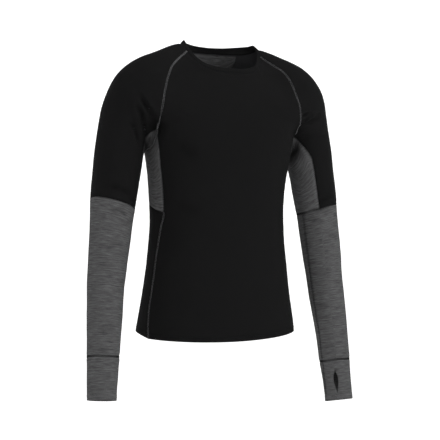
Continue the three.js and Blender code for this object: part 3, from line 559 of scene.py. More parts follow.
# Drawn creases: points along each, half width and depth, the wearer's left having positive x
drawnCreases = [
    ([(-214, -66, -141), (-207, -70, -154), (-195, -72, -170), (-185, -70, -185), (-176, -58, -203)], 4.5, 4.6),
    ([(-219, -64, -163), (-210, -66, -177), (-201, -58, -196), (-190, -41, -218), (-186, -31, -237)], 4, 3.4),
    ([(-229, -54, -194), (-220, -53, -209), (-212, -50, -228), (-205, -46, -243)], 4.5, 2.4),
    ([(174, -79.5, -165), (192, -74, -155)], 4, 2.6),
    ([(173, -78, -178), (186, -74, -173), (200, -71, -165)], 4, 3.4),
    ([(172, -68, -194), (183, -71, -184), (202, -68, -176), (224, -62, -163)], 4.5, 4.2),
    ([(-176, 60, -203), (-188, 72, -186), (-201, 74, -168), (-214, 70, -150)], 5, 2.1),
    ([(-184, 46, -230), (-196, 57, -212), (-209, 66, -192)], 4, 1.5),
    ([(174, 62, -203), (190, 72, -188), (207, 71, -172)], 4.5, 1.8),
    ([(181, 50, -224), (195, 61, -208), (212, 65, -193), (226, 60, -182)], 5, 1.6),
    ([(-132, -84, -238), (-112, -96, -256), (-88, -106, -268)], 17, 1.1),
    ([(128, 84, -262), (104, 96, -282), (76, 102, -292)], 18, 1.1),
    ([(-128, -70, -372), (-104, -92, -384), (-80, -102, -390)], 13, 0.7),
    ([(122, 70, -352), (96, 88, -366), (60, 94, -372)], 14, 0.8),
    ([(-84, -110, -654), (-92, -108, -632)], 11, -0.9),
    ([(96, -104, -640), (88, -108, -612)], 13, -0.7),
    ([(171, -62, -203), (175, -50, -219), (179, -32, -233), (181, -8, -241)], 7, 5.5),
    ([(-171, -62, -203), (-175, -50, -219), (-179, -32, -233), (-181, -8, -241)], 7, 5.5),
]
# Creases across a sleeve: height and sleeve angle at each end, half width and depth
sleeveCreases = {
    "right": [(-342, -38, -356, 36, 7, 1.3), (-362, 8, -371, 70, 6, 1.0), (-398, -30, -388, 22, 7, 1.1),
              (-416, 20, -409, 66, 6, 0.8), (-470, -20, -462, 30, 9, 0.8), (-560, 40, -548, 84, 8, 0.7),
              (-640, -24, -648, 28, 8, 0.7), (-694, -50, -688, 12, 5, 0.6), (-702, 40, -698, 100, 5, 0.6),
              (-352, 140, -364, 196, 8, 0.8), (-404, 150, -395, 206, 8, 0.7)],
    "left": [(-350, -44, -362, 28, 7, 1.1), (-384, -20, -379, 44, 6, 1.0), (-407, 6, -400, 60, 7, 0.9),
             (-446, -40, -439, 14, 8, 0.8), (-520, 0, -528, 54, 9, 0.7), (-604, 24, -596, 70, 8, 0.7),
             (-662, -40, -668, 10, 7, 0.6), (-698, 16, -693, 80, 5, 0.6), (-346, 150, -358, 204, 8, 0.8),
             (-410, 140, -401, 190, 7, 0.7)],
}


def overSleeve(side, fromZ, fromAngle, toZ, toAngle, count=7):
    line = surfaces[side].line
    u = np.linspace(0, 1, count)
    place = np.interp(mixed(fromZ, toZ, u), line.centre[::-1, 2], np.arange(sleeveSteps + 1)[::-1])
    turned = np.radians(mixed(fromAngle, toAngle, u))
    centre, out, forward, radius, ahead = line.at(place)
    points = centre + forward * (ahead * np.cos(turned))[:, None] - out * (radius * np.sin(turned))[:, None]
    return surfaces[side].settle(points) * (mirror if side == "right" else 1)


for side, listed in sleeveCreases.items():
    for fromZ, fromAngle, toZ, toAngle, halfWidth, depth in listed:
        drawnCreases.append((overSleeve(side, fromZ, fromAngle, toZ, toAngle), halfWidth, depth))


# The shade held in the fold under each arm: points along it, its half width, and the share of light it takes
armpitShade = {
    "points": [(170, -64, -202), (176, -52, -222), (181, -32, -242), (184, -8, -254), (184, 22, -254)],
    "halfWidth": 17, "share": 0.93, "creaseShare": 0.8, "fullDepth": 3.2,
}


def shadeAt(p):
    shade = np.zeros(len(p))
    q, points = np.abs(p * (1, 0, 0)) + p * (0, 1, 1), armpitShade["points"]
    for start, end in zip(points[:-1], points[1:]):
        off, _ = offSegment(q, start, end)
        shade = np.maximum(shade, armpitShade["share"] * np.exp(-((off / armpitShade["halfWidth"]) ** 2)))
    return shade


def creaseRelief(p):  # the relief, and the share of light that the creases take
    total, shade = np.zeros(len(p)), np.zeros(len(p))
    for points, halfWidth, depth in drawnCreases:
        points = np.array(points, float)
        close = np.all((p > points.min(0) - 4 * halfWidth) & (p < points.max(0) + 4 * halfWidth), axis=1)
        if not close.any():
            continue
        q, best, share = p[close], np.full(close.sum(), 1e9), np.zeros(close.sum())
        for k in range(len(points) - 1):
            off, t = offSegment(q, points[k], points[k + 1])
            share = np.where(off < best, (k + t) / (len(points) - 1), share)
            best = np.minimum(off, best)
        fade = smooth(share / 0.3) * smooth((1 - share) / 0.35) + 0.12
        across = best / halfWidth
        shape = cloth["ridge"] * np.exp(-(((across - 2) / 0.85) ** 2)) - np.exp(-(across**2))
        total[close] += depth * shape * fade
        deep = armpitShade["creaseShare"] * min(max(depth, 0) / armpitShade["fullDepth"], 1)
        shade[close] = np.maximum(shade[close], deep * fade * np.exp(-((across * 1.2) ** 2)))
    return total, shade


def seamRelief(off):  # off: distance from the nearest seam
    dip = cloth["seamDip"] * np.exp(-((off / cloth["seamDipWidth"]) ** 2))
    swell = cloth["seamSwell"] * np.exp(-(((off - cloth["seamSwellAt"]) / 5) ** 2))
    return swell - dip


def relief(p, off):
    flat = p.reshape(-1, 3)
    near = off.reshape(-1)
    creased, shade = creaseRelief(flat)
    total = creased + cloth["swell"] * swells.at(flat) + cloth["unevenness"] * unevenness.at(flat)
    total = total + cloth["pucker"] * puckers.at(flat) * np.exp(-((near / cloth["puckerReach"]) ** 2))
    shade = np.clip(np.maximum(shade, shadeAt(flat)), 0, 1)
    return (total + seamRelief(near)).reshape(off.shape), shade.reshape(off.shape)


# How far each point is from the grid's first and last row and column, along the cloth
def lengths(grid):
    steps = [np.linalg.norm(np.diff(grid, axis=axis), axis=-1).cumsum(axis) for axis in (0, 1)]
    down = np.concatenate([np.zeros((1, grid.shape[1])), steps[0]])
    across = np.concatenate([np.zeros((grid.shape[0], 1)), steps[1]], axis=1)
    return {"first": down, "last": down[-1:] - down, "start": across, "end": across[:, -1:] - across}


def slanted(grid):  # lets the hem slant from side to side
    share = smooth((hemSlant["fromZ"] - grid[..., 2]) / hemSlant["overZ"])
    moved = grid.copy()
    moved[..., 2] += hemSlant["rise"] * share * grid[..., 0] / hemSlant["atX"]
    return moved


class Panel:  # one cut piece of cloth: where it lies, its relief and its thickness
    def __init__(self, name, grid, side, seams, free=(), closed=False, normals=None, hem=0,
                 thickness=None, crown=0):
        onRight = side == "right"
        if normals is None:
            if side is None:
                leftwards = grid[..., :1] >= 0
                folded = np.where(leftwards, grid, grid * mirror)
                onLeft, onTheRight = (surfaces[way].normals(folded) for way in ("left", "right"))
                n = np.where(leftwards, onLeft, onTheRight * mirror)
            else:
                n = surfaces[side].normals(grid) * (mirror if onRight else 1)
        else:
            n = normals
        grid = grid * (mirror if onRight else 1)
        self.name, self.closed, self.seams = name, closed, seams
        self.off = lengths(grid)
        off = np.full(grid.shape[:2], 999.0)
        for edge in seams:
            off = np.minimum(off, self.off[edge])
        if name.startswith(("forearm", "cuff")):
            seam = longSeams[side] * (mirror if onRight else 1)
            off = np.minimum(off, offLine(grid.reshape(-1, 3), seam).reshape(off.shape))
        self.flat = grid
        self.n = n
        raised, self.shade = relief(grid, off)
        self.grid = grid + n * raised[..., None]
        if crown:
            u = evenly(grid.shape[0] - 1)[:, None, None]
            self.grid = self.grid + n * crown * 4 * u * (1 - u)
        self.thickness = np.full(grid.shape[:2], thickness or cloth["jersey"])
        if hem:
            edge = "first" if "first" in free else "last"
            folded = 1 - smooth((self.off[edge] - hem) / 1.6)
            self.thickness += (cloth["hem"] - cloth["jersey"]) * folded
            self.grid = self.grid + n * (0.4 * folded * (cloth["hem"] - cloth["jersey"]))[..., None]
        self.slant = name.startswith(("front_panel", "back_panel", "side_panel_lower"))
        if self.slant:
            self.grid = slanted(self.grid)

    def edge(self, which):  # the points and normals along one edge
        at = {"first": np.s_[0], "last": np.s_[-1], "start": np.s_[:, 0], "end": np.s_[:, -1]}[which]
        return self.grid[at], self.n[at]

    def inFrom(self, which, distance):  # a line on the cloth at a distance from an edge
        lines = self.off[which]
        k = np.argmin(np.abs(lines - distance), axis=0)
        k = np.clip(k, 1, lines.shape[0] - 2)
        j = np.arange(lines.shape[1])
        found, foundN = [], []
        for column, row in zip(j, k):
            order = slice(None) if lines[1, column] > lines[0, column] else slice(None, None, -1)
            along = lines[order, column]
            found.append([np.interp(distance, along, self.grid[order, column, axis]) for axis in range(3)])
            foundN.append(self.n[row, column])
        return np.array(found), np.array(foundN)


# Meshes
rimTurns = (50, 90, 130)  # where a rim's rounding has points, in degrees from outside to inside
trims = {"sewn": 0.06, "free": 0.5}  # how far an edge is drawn in, which leaves a free one room to be rounded


def borders(height, width, panel, slitRows):  # loops of grid points round the cloth, in the faces' own order
    across, down = range(width), range(height)
    if not panel.closed:
        loop = [(0, j) for j in across] + [(i, width - 1) for i in down][1:]
        loop += [(height - 1, j) for j in across][-2::-1] + [(i, 0) for i in down][-2:0:-1]
        return [loop]
    loops = [[(0, j) for j in across][:-1], [(height - 1, j) for j in across][:0:-1]]
    if len(slitRows):
        top, bottom = slitRows[0] - 1, slitRows[-1] + 1
        up, back = range(bottom, top - 1, -1), range(top + 1, bottom)
        loops.append([(i, 0) for i in up] + [(i, width - 1) for i in back])
    return loops


def shell(panel):
    outer, n = panel.grid.copy(), panel.n
    height, width = outer.shape[:2]
    slitRows = np.flatnonzero(np.abs(outer[:, 0] - outer[:, -1]).max(-1) > 0.05) if panel.closed else []
    loops = borders(height, width, panel, slitRows)
    outwards, trim = {}, {}
    for loop in loops:  # the way out of the cloth at each border point, square to the border
        for k, (i, j) in enumerate(loop):
            before, after = panel.grid[loop[k - 1]], panel.grid[loop[(k + 1) % len(loop)]]
            i2 = min(max(i, 1), height - 2) if (i in (0, height - 1)) else i
            j2 = j
            if not panel.closed or (i in slitRows):
                j2 = min(max(j, 1), width - 2)
            way = panel.grid[i, j] - panel.grid[i2, j2]
            if panel.closed and len(slitRows) and (i, j) in ((slitRows[0] - 1, 0), (slitRows[-1] + 1, 0)):
                way = panel.grid[slitRows[len(slitRows) // 2], 0] - panel.grid[i, j]
            corner = not panel.closed and i in (0, height - 1) and j in (0, width - 1)
            tangent = after - before
            way = way if corner else np.cross(tangent, np.cross(way, tangent))
            way = way - n[i, j] * (way @ n[i, j])
            outwards[i, j] = way / max(np.linalg.norm(way), 1e-9)
            sewn = (i == 0 and "first" in panel.seams) or (i == height - 1 and "last" in panel.seams)
            sewn = sewn or (not panel.closed and j in (0, width - 1) and "start" in panel.seams)
            trim[i, j] = trims["sewn" if sewn else "free"]
            outer[i, j] = panel.grid[i, j] - outwards[i, j] * trim[i, j] * (1.3 if corner else 1)
    if panel.closed:
        shut = [i for i in range(height) if i not in slitRows]
        outer[shut, -1] = outer[shut, 0]
    inner = outer - n * panel.thickness[..., None]
    number = np.arange(height * width).reshape(height, width)
    if panel.closed:
        number[shut, -1] = number[shut, 0]
    second = number + height * width
    points = [outer.reshape(-1, 3), inner.reshape(-1, 3)]
    a, b, c, d = (number[:-1, :-1], number[1:, :-1], number[1:, 1:], number[:-1, 1:])
    quads = [np.stack([a, b, c, d], -1).reshape(-1, 4)]
    a, b, c, d = (second[:-1, :-1], second[1:, :-1], second[1:, 1:], second[:-1, 1:])
    quads.append(np.stack([d, c, b, a], -1).reshape(-1, 4))
    count = 2 * height * width
    source = [np.arange(height * width)] * 2  # the grid point that each vertex belongs to
    for loop in loops:
        at = np.array([number[i, j] for i, j in loop])
        normal = np.array([n[i, j] for i, j in loop])
        thick = np.array([panel.thickness[i, j] for i, j in loop])[:, None]
        way = np.array([outwards[i, j] for i, j in loop])
        reach = np.array([[trim[i, j] * 0.85] for i, j in loop])
        middle = outer.reshape(-1, 3)[at] - normal * thick / 2
        ring = [at]
        for turned in np.radians(rimTurns):
            points.append(middle + normal * thick / 2 * math.cos(turned) + way * reach * math.sin(turned))
            source.append(at)
            ring.append(count + np.arange(len(loop)))
            count += len(loop)
        ring.append(at + height * width)
        for first, then in zip(ring[:-1], ring[1:]):
            quads.append(np.stack([first, np.roll(first, -1), np.roll(then, -1), then], -1))
    points, quads, source = np.concatenate(points), np.concatenate(quads), np.concatenate(source)
    i, j = height // 2, width // 2
    down, across = panel.grid[i + 1, j] - panel.grid[i, j], panel.grid[i, j + 1] - panel.grid[i, j]
    if np.cross(down, across) @ n[i, j] < 0:
        quads = quads[:, ::-1]
    down = panel.off["first"] - panel.off["first"][:, :1].min()
    centreLine = panel.off["start"][:, width // 2][:, None]
    level = np.broadcast_to(down[:, width // 2][:, None], down.shape)
    cut = np.stack([panel.off["start"] - centreLine, level], -1)
    inside = np.zeros(len(points))
    inside[height * width: 2 * height * width] = panel.name != "neckband"
    shade = panel.shade.ravel()[source] * (1 - inside)
    return points, quads, cut.reshape(-1, 2)[source] * millimetre, inside, shade


def unusedDropped(points, quads, *others):
    used = np.unique(quads)
    renumber = np.full(len(points), -1)
    renumber[used] = np.arange(len(used))
    return points[used], renumber[quads], *(values[used] for values in others)


def clothObject(panel, material):
    points, quads, cut, inside, shade = unusedDropped(*shell(panel))
    mesh = bpy.data.meshes.new(panel.name)
    mesh.vertices.add(len(points))
    mesh.vertices.foreach_set("co", (points * millimetre).astype(np.float32).ravel())
    mesh.loops.add(quads.size)
    mesh.loops.foreach_set("vertex_index", quads.astype(np.int32).ravel())
    mesh.polygons.add(len(quads))
    mesh.polygons.foreach_set("loop_start", np.arange(0, quads.size, 4, dtype=np.int32))
    mesh.update(calc_edges=True)
    mesh.polygons.foreach_set("use_smooth", np.ones(len(quads), bool))
    for name, values in (("inside", inside), ("shade", shade)):
        mesh.attributes.new(name, "FLOAT", "POINT").data.foreach_set("value", values.astype(np.float32))
    layer = mesh.uv_layers.new(name="cut")
    layer.data.foreach_set("uv", cut[quads.ravel()].astype(np.float32).ravel())
    mesh.validate()
    mesh.materials.append(material)
    made = bpy.data.objects.new(panel.name, mesh)
    bpy.context.collection.objects.link(made)
    return made


# Node trees, for materials and for stitches
class Tree:
    def __init__(self, nodes):
        self.tree = nodes

    def node(self, kind, settings=None, values=None, output=0):
        made = self.tree.nodes.new(kind)
        for name, value in (settings or {}).items():
            setattr(made, name, value)
        for name, value in (values or {}).items():
            if isinstance(value, Socket):
                self.tree.links.new(value.socket, made.inputs[name])
            else:
                made.inputs[name].default_value = value
        return Socket(self, made.outputs[output]) if len(made.outputs) else made


class Socket:
    def __init__(self, tree, socket):
        self.tree, self.socket = tree, socket

    def maths(self, operation, *others):
        return self.tree.node("ShaderNodeMath", {"operation": operation}, dict(enumerate((self, *others))))

    def __add__(self, other):
        return self.maths("ADD", other)

    def __sub__(self, other):
        return self.maths("SUBTRACT", other)

    def __rsub__(self, other):
        return self.maths("MULTIPLY_ADD", -1.0, other)

    def __mul__(self, other):
        return self.maths("MULTIPLY", other)

    def __truediv__(self, other):
        return self.maths("DIVIDE", other)

    __radd__, __rmul__ = __add__, __mul__


# Cloth. Patterns lie on the cut's own flat sizes, in metres: u across a piece and v down it.
def principled(name, settings):
    material = bpy.data.materials.new(name)
    material.use_nodes = True
    tree = Tree(material.node_tree)
    shader = material.node_tree.nodes["Principled BSDF"]
    for socket, value in settings.items():
        shader.inputs[socket].default_value = value
    return material, tree, shader


def knit(tree, jersey):  # height of a plain knit's small V stitches, and the flat coordinates
    place = tree.node("ShaderNodeUVMap", {"uv_map": "cut"})
    split = tree.tree.nodes.new("ShaderNodeSeparateXYZ")
    tree.tree.links.new(place.socket, split.inputs[0])
    u, v = Socket(tree, split.outputs[0]), Socket(tree, split.outputs[1])
    wale = (u / jersey["wale"]).maths("FRACT")
    lean = (wale - 0.5).maths("ABSOLUTE")
    loops = (v / jersey["course"] + lean * 1.1) * (2 * math.pi)
    rib = (lean * (2 * math.pi)).maths("SINE")
    height = rib * (loops.maths("SINE") * 0.35 + 0.65)
    return u, v, height


def stretched(tree, u, v, across, down, seed):  # noise with its own scale each way
    spot = tree.node("ShaderNodeCombineXYZ", values={0: u * across, 1: v * down, 2: seed})
    return tree.node("ShaderNodeTexNoise", {"noise_dimensions": "3D"},
                     {"Vector": spot, "Scale": 1.0, "Detail": 2.0, "Roughness": 0.5})


def blended(tree, share, first, second):
    made = tree.tree.nodes.new("ShaderNodeMix")
    made.data_type = "RGBA"
    for index, value in ((0, share), (6, first), (7, second)):
        if isinstance(value, Socket):
            tree.tree.links.new(value.socket, made.inputs[index])
        else:
            made.inputs[index].default_value = value if index == 0 else (*value, 1)
    return Socket(tree, made.outputs[2])


def measured(tree, name):  # a measure that the mesh holds at each of its points
    return tree.node("ShaderNodeAttribute", {"attribute_name": name}, output=2)


def bumped(tree, height, distance, strength, shader):
    bump = tree.node("ShaderNodeBump", values={"Height": height, "Distance": distance, "Strength": strength})
    tree.tree.links.new(bump.socket, shader.inputs["Normal"])


blackJersey = {
    "dark": (0.0037, 0.0037, 0.0038), "light": (0.006, 0.006, 0.0061),
    "inside": (0.026, 0.026, 0.0275), "shaded": (0.0003, 0.0003, 0.0003),
    "roughness": 1.0, "specular": 0.06,
    "wale": 0.00105, "course": 0.00078, "bump": 0.00012,
}
greyMelange = {
    "dark": (0.025, 0.025, 0.0254), "light": (0.09, 0.09, 0.0915), "fleck": (0.17, 0.17, 0.172),
    "shaded": (0.001, 0.001, 0.001),
    "roughness": 1.0, "specular": 0.06, "wale": 0.00105, "course": 0.00078, "bump": 0.00012,
    "streakAcross": 62, "streakDown": 820, "longAcross": 24, "longDown": 360,
    "fibreAcross": 420, "fibreDown": 2600,
}


def makeBlackJersey():
    material, tree, shader = principled("fine_black_jersey", {
        "Roughness": blackJersey["roughness"], "Specular IOR Level": blackJersey["specular"]})
    u, v, height = knit(tree, blackJersey)
    fuzz = stretched(tree, u, v, 900, 900, 3.0)
    worn = stretched(tree, u, v, 14, 11, 8.0)
    share = fuzz * 0.55 + worn * 0.25 + height * 0.3
    colour = blended(tree, share.maths("MINIMUM", 1.0), blackJersey["dark"], blackJersey["light"])
    colour = blended(tree, measured(tree, "inside"), colour, blackJersey["inside"])
    colour = blended(tree, measured(tree, "shade"), colour, blackJersey["shaded"])
    tree.tree.links.new(colour.socket, shader.inputs["Base Color"])
    bumped(tree, height + fuzz * 0.5, blackJersey["bump"], 0.6, shader)
    return material


def makeGreyMelange():
    g = greyMelange
    material, tree, shader = principled("grey_melange_jersey", {
        "Roughness": g["roughness"], "Specular IOR Level": g["specular"]})
    u, v, height = knit(tree, g)
    streak = stretched(tree, u, v, g["streakAcross"], g["streakDown"], 1.0)
    long = stretched(tree, u, v, g["longAcross"], g["longDown"], 5.0)
    fibre = stretched(tree, u, v, g["fibreAcross"], g["fibreDown"], 9.0)
    mixedIn = (streak - 0.5) * 1.5 + (long - 0.5) * 1.3 + (fibre - 0.5) * 0.8 + 0.5
    share = mixedIn.maths("MINIMUM", 1.0).maths("MAXIMUM", 0.0)
    colour = blended(tree, share, g["dark"], g["light"])
    pale = (fibre + streak * 0.35 - 0.86) * 6
    pale = pale.maths("MINIMUM", 1.0).maths("MAXIMUM", 0.0)
    colour = blended(tree, pale * 0.6, colour, g["fleck"])
    colour = blended(tree, measured(tree, "shade"), colour, g["shaded"])
    tree.tree.links.new(colour.socket, shader.inputs["Base Color"])
    bumped(tree, height + fibre * 0.4, g["bump"], 0.6, shader)
    return material


threads = {"light": (0.125, 0.125, 0.128), "dark": (0.0055, 0.0055, 0.0058), "roughness": 0.8, "specular": 0.12}


def makeThread(name, colour):
    material, tree, shader = principled(name, {
        "Roughness": threads["roughness"], "Specular IOR Level": threads["specular"]})
    place = tree.node("ShaderNodeTexCoord", output=3)
    twist = tree.node("ShaderNodeTexNoise", values={"Vector": place, "Scale": 2500.0, "Detail": 1.0})
    shade = blended(tree, twist, tuple(0.75 * c for c in colour), tuple(1.2 * c for c in colour))
    tree.tree.links.new(shade.socket, shader.inputs["Base Color"])
    return material


materials = {
    "black_jersey": makeBlackJersey(), "grey_melange": makeGreyMelange(),
    "light": makeThread("grey_thread", threads["light"]), "dark": makeThread("black_thread", threads["dark"]),
}

# The cloth pieces
panels = {
    name: Panel(name, bodyGrids[name], None, ("last", "start", "end"), ("first",), hem=11)
    for name in ("front_panel", "back_panel")
}
ringGrid, ringNormals = neckRing()
panels["neckband"] = Panel("neckband", ringGrid, None, ("first",), ("last",), closed=True, normals=ringNormals,
                           thickness=cloth["band"], crown=0.5)
underFacing = facingGrid()
panels["neck_facing"] = Panel("neck_facing", underFacing, None, (), ("last",), thickness=cloth["facing"])
panels["neck_facing"].grid -= panels["neck_facing"].n * 1.5
for side in ("left", "right"):
    lower, upper = bodyGrids["side_panel_lower"], bodyGrids["side_panel_upper"]
    sewnAll = ("first", "last", "start", "end")
    grids = sleeveGrids[side]
    listed = [
        ("side_panel_lower", lower, sewnAll[1:], {"free": ("first",), "hem": 11}),
        ("side_panel_upper", upper, sewnAll, {}),
        ("sleeve_upper", grids["sleeve_upper"], sewnAll, {}),
        ("underarm_panel", grids["underarm_panel"], sewnAll, {}),
        ("forearm", grids["forearm"], ("first", "last"), {"closed": True}),
        ("cuff", grids["cuff"], ("first",), {"closed": True, "free": ("last",), "hem": 12}),
    ]
    for name, grid, seams, more in listed:
        panels[f"{name}_{side}"] = Panel(f"{name}_{side}", grid, side, seams, **more)

# The neckband's sewn edge lies on the edges that it is sewn to
sewnTo = []
for name, which, way in (("front_panel", "last", 1), ("sleeve_upper_left", "first", 1),
                         ("back_panel", "last", -1), ("sleeve_upper_right", "first", -1)):
    last = None if name == "sleeve_upper_right" else -1
    sewnTo.append([part[::way][:last] for part in panels[name].edge(which)])
sewnPoints, sewnNormals = (np.concatenate(parts) for parts in zip(*sewnTo))
band = panels["neckband"]
near = 1 - evenly(rows["band"])[:, None, None]
band.grid = band.grid + (sewnPoints - band.grid[0]) * near**2
band.n = unit(mixed(band.n, unit(band.n + sewnNormals), near))
print("cloth laid out:", len(panels), "pieces")

blackPieces = ("front_panel", "back_panel", "neckband", "side_panel_lower", "sleeve_upper")
objects = {}
for name, panel in panels.items():
    slot = "black_jersey" if name.startswith(blackPieces) else "grey_melange"
    objects[name] = clothObject(panel, materials[slot])
    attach(objects[name], "root")
    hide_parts(name)
print("cloth made:", sum(len(o.data.polygons) for o in objects.values()), "faces")

# Sewing. Each line of it follows the cloth's own points.
sewing = {
    "flatlock": {"pitch": 1.3, "width": 3.0, "thread": 0.21, "lift": 0.36, "needles": 1.75, "stitch": 1.5},
    "cover": {"pitch": 1.7, "width": 0.0, "thread": 0.16, "lift": 0.22, "needles": 1.2, "stitch": 1.6},
    "thick": {"pitch": 1.5, "width": 3.8, "thread": 0.21, "lift": 0.34, "needles": 2.1, "stitch": 1.5},
}


def stitchTree(name):
    nodes = bpy.data.node_groups.new(name, "GeometryNodeTree")
    face = nodes.interface
    face.new_socket("Geometry", in_out="INPUT", socket_type="NodeSocketGeometry")
    for label in ("Pitch", "Width", "Thread", "Lift", "Needles", "Stitch"):
        face.new_socket(label, in_out="INPUT", socket_type="NodeSocketFloat")
    face.new_socket("Material", in_out="INPUT", socket_type="NodeSocketMaterial")
    face.new_socket("Geometry", in_out="OUTPUT", socket_type="NodeSocketGeometry")
    tree = Tree(nodes)
    given = nodes.nodes.new("NodeGroupInput")
    wanted = {socket.name: Socket(tree, socket) for socket in given.outputs}
    curve = tree.node("GeometryNodeMeshToCurve", values={"Mesh": wanted["Geometry"]})
    across = tree.node("GeometryNodeInputNamedAttribute", {"data_type": "FLOAT_VECTOR"}, {"Name": "across"})
    up = tree.node("GeometryNodeInputNamedAttribute", {"data_type": "FLOAT_VECTOR"}, {"Name": "up"})
    index = tree.node("GeometryNodeInputIndex")
    odd = index.maths("MODULO", 2.0)
    profile = tree.node("GeometryNodeCurvePrimitiveCircle", {"mode": "RADIUS"},
                        {"Resolution": 4, "Radius": wanted["Thread"]})
    tubes = []
    # a looper thread from side to side, and a needle thread along each side
    for step, sideways, lift in ((wanted["Pitch"], (0.5 - odd) * wanted["Width"], wanted["Lift"]),
                                 (wanted["Stitch"], wanted["Needles"], wanted["Lift"] * (0.35 + odd)),
                                 (wanted["Stitch"], wanted["Needles"] * -1.0, wanted["Lift"] * (0.35 + odd))):
        line = tree.node("GeometryNodeResampleCurve", {"mode": "LENGTH"},
                         {"Curve": curve, "Length": step * 0.5})
        shiftA = tree.node("ShaderNodeVectorMath", {"operation": "SCALE"}, {0: across, "Scale": sideways})
        shiftB = tree.node("ShaderNodeVectorMath", {"operation": "SCALE"}, {0: up, "Scale": lift})
        shift = tree.node("ShaderNodeVectorMath", {"operation": "ADD"}, {0: shiftA, 1: shiftB})
        moved = tree.node("GeometryNodeSetPosition", values={"Geometry": line, "Offset": shift})
        tubes.append(tree.node("GeometryNodeCurveToMesh",
                               values={"Curve": moved, "Profile Curve": profile, "Fill Caps": True}))
    joined = nodes.nodes.new("GeometryNodeJoinGeometry")
    for tube in reversed(tubes):
        nodes.links.new(tube.socket, joined.inputs[0])
    smoothed = tree.node("GeometryNodeSetShadeSmooth", values={"Geometry": Socket(tree, joined.outputs[0])})
    real = tree.node("GeometryNodeRealizeInstances", values={"Geometry": smoothed})
    done = tree.node("GeometryNodeSetMaterial", values={"Geometry": real, "Material": wanted["Material"]})
    nodes.links.new(done.socket, nodes.nodes.new("NodeGroupOutput").inputs[0])
    return nodes


stitchNodes = stitchTree("sewn_line")


# Lines are points and normals in millimetres, and whether they close
def sewnObject(name, lines, kind, material):
    points, edges, across, up = [], [], [], []
    for line, normals, closed in lines:
        start = sum(len(part) for part in points)
        before = np.roll(line, 1, 0) if closed else np.concatenate([line[:1], line[:-1]])
        after = np.roll(line, -1, 0) if closed else np.concatenate([line[1:], line[-1:]])
        points.append(line)
        up.append(normals)
        across.append(unit(np.cross(after - before, normals)))
        k = np.arange(len(line) if closed else len(line) - 1)
        edges.append(np.stack([start + k, start + (k + 1) % len(line)], -1))
    mesh = bpy.data.meshes.new(name)
    points, edges = np.concatenate(points) * millimetre, np.concatenate(edges)
    mesh.from_pydata(points.tolist(), edges.tolist(), [])
    for label, values in (("across", across), ("up", up)):
        layer = mesh.attributes.new(label, "FLOAT_VECTOR", "POINT")
        layer.data.foreach_set("vector", np.concatenate(values).astype(np.float32).ravel())
    made = bpy.data.objects.new(name, mesh)
    bpy.context.collection.objects.link(made)
    modifier = made.modifiers.new("sewing", "NODES")
    modifier.node_group = stitchNodes
    sizes = sewing[kind]
    for item in stitchNodes.interface.items_tree:
        if item.in_out == "INPUT" and item.name.lower() in sizes:
            modifier[item.identifier] = sizes[item.name.lower()] * millimetre
        if item.name == "Material":
            modifier[item.identifier] = material
    evaluated = made.evaluated_get(bpy.context.evaluated_depsgraph_get())
    result = bpy.data.meshes.new_from_object(evaluated)
    made.modifiers.clear()
    made.data = result
    result.name = name
    if not result.materials:
        result.materials.append(material)
    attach(made, "root")
    return made


def edgeLine(name, which, closed=False, cut=(0, None)):
    points, normals = panels[name].edge(which)
    part = slice(*cut)
    points, normals = points[part], normals[part]
    if closed:
        points, normals = points[:-1], normals[:-1]
    return points, normals, closed


below = rows["lower"] + rows["upper"]
lightLines, darkLines, thickLines, hemLines, cuffHemLines = [], [], [], [], []
for name in ("front_panel", "back_panel"):
    for which in ("start", "end"):
        lightLines.append(edgeLine(name, which, cut=(below, None)))
        lightLines.append(edgeLine(name, which, cut=(0, rows["lower"] + 1)))
        darkLines.append(edgeLine(name, which, cut=(rows["lower"], below + 1)))
for side in ("left", "right"):
    lightLines.append(edgeLine(f"underarm_panel_{side}", "first"))
    darkLines.append(edgeLine(f"underarm_panel_{side}", "start"))
    darkLines.append(edgeLine(f"underarm_panel_{side}", "end"))
    darkLines.append(edgeLine(f"side_panel_lower_{side}", "last"))
    thickLines.append(edgeLine(f"forearm_{side}", "first", closed=True))
    thickLines.append(edgeLine(f"cuff_{side}", "first", closed=True))
    flip = mirror if side == "right" else 1
    normals = surfaces[side].normals(longSeams[side]) * flip
    seam = longSeams[side] * flip
    seam = seam + normals * relief(seam, np.zeros(len(seam)))[0][:, None]
    thickLines.append((seam, normals, False))
    for distance in (6.5, 10):
        line, normals = panels[f"cuff_{side}"].inFrom("last", distance)
        cuffHemLines.append((line[:-1], normals[:-1], True))
for name in ("front_panel", "back_panel", "side_panel_lower_left", "side_panel_lower_right"):
    line, normals = panels[name].inFrom("first", 9.5)
    hemLines.append((line, normals, False))
facingPanel = panels["neck_facing"]
line, normals = facingPanel.inFrom("last", 3)
hemLines.append((line - normals * (cloth["facing"] + 0.1), -normals, False))
stitches = [
    sewnObject("seams_light", lightLines, "flatlock", materials["light"]),
    sewnObject("seams_dark", darkLines, "flatlock", materials["dark"]),
    sewnObject("seams_thick", thickLines, "thick", materials["dark"]),
    sewnObject("hem_stitching", hemLines, "cover", materials["dark"]),
    sewnObject("cuff_hem_stitching", cuffHemLines, "cover", materials["light"]),
]
print("sewing made:", sum(len(o.data.polygons) for o in stitches), "faces")

# Each piece's flat size in metres: width, length, and the area of its cut
for name, panel in panels.items():
    step1, step2 = panel.flat[1:, :-1] - panel.flat[:-1, :-1], panel.flat[:-1, 1:] - panel.flat[:-1, :-1]
    area = np.linalg.norm(np.cross(step1, step2), axis=-1).sum() * millimetre**2
    length = panel.off["first"][-1].max() * millimetre
    width = panel.off["start"][:, -1].max() * millimetre
    area = min(area, width * length)

print("flat sizes given:", len(panels), "sheets")

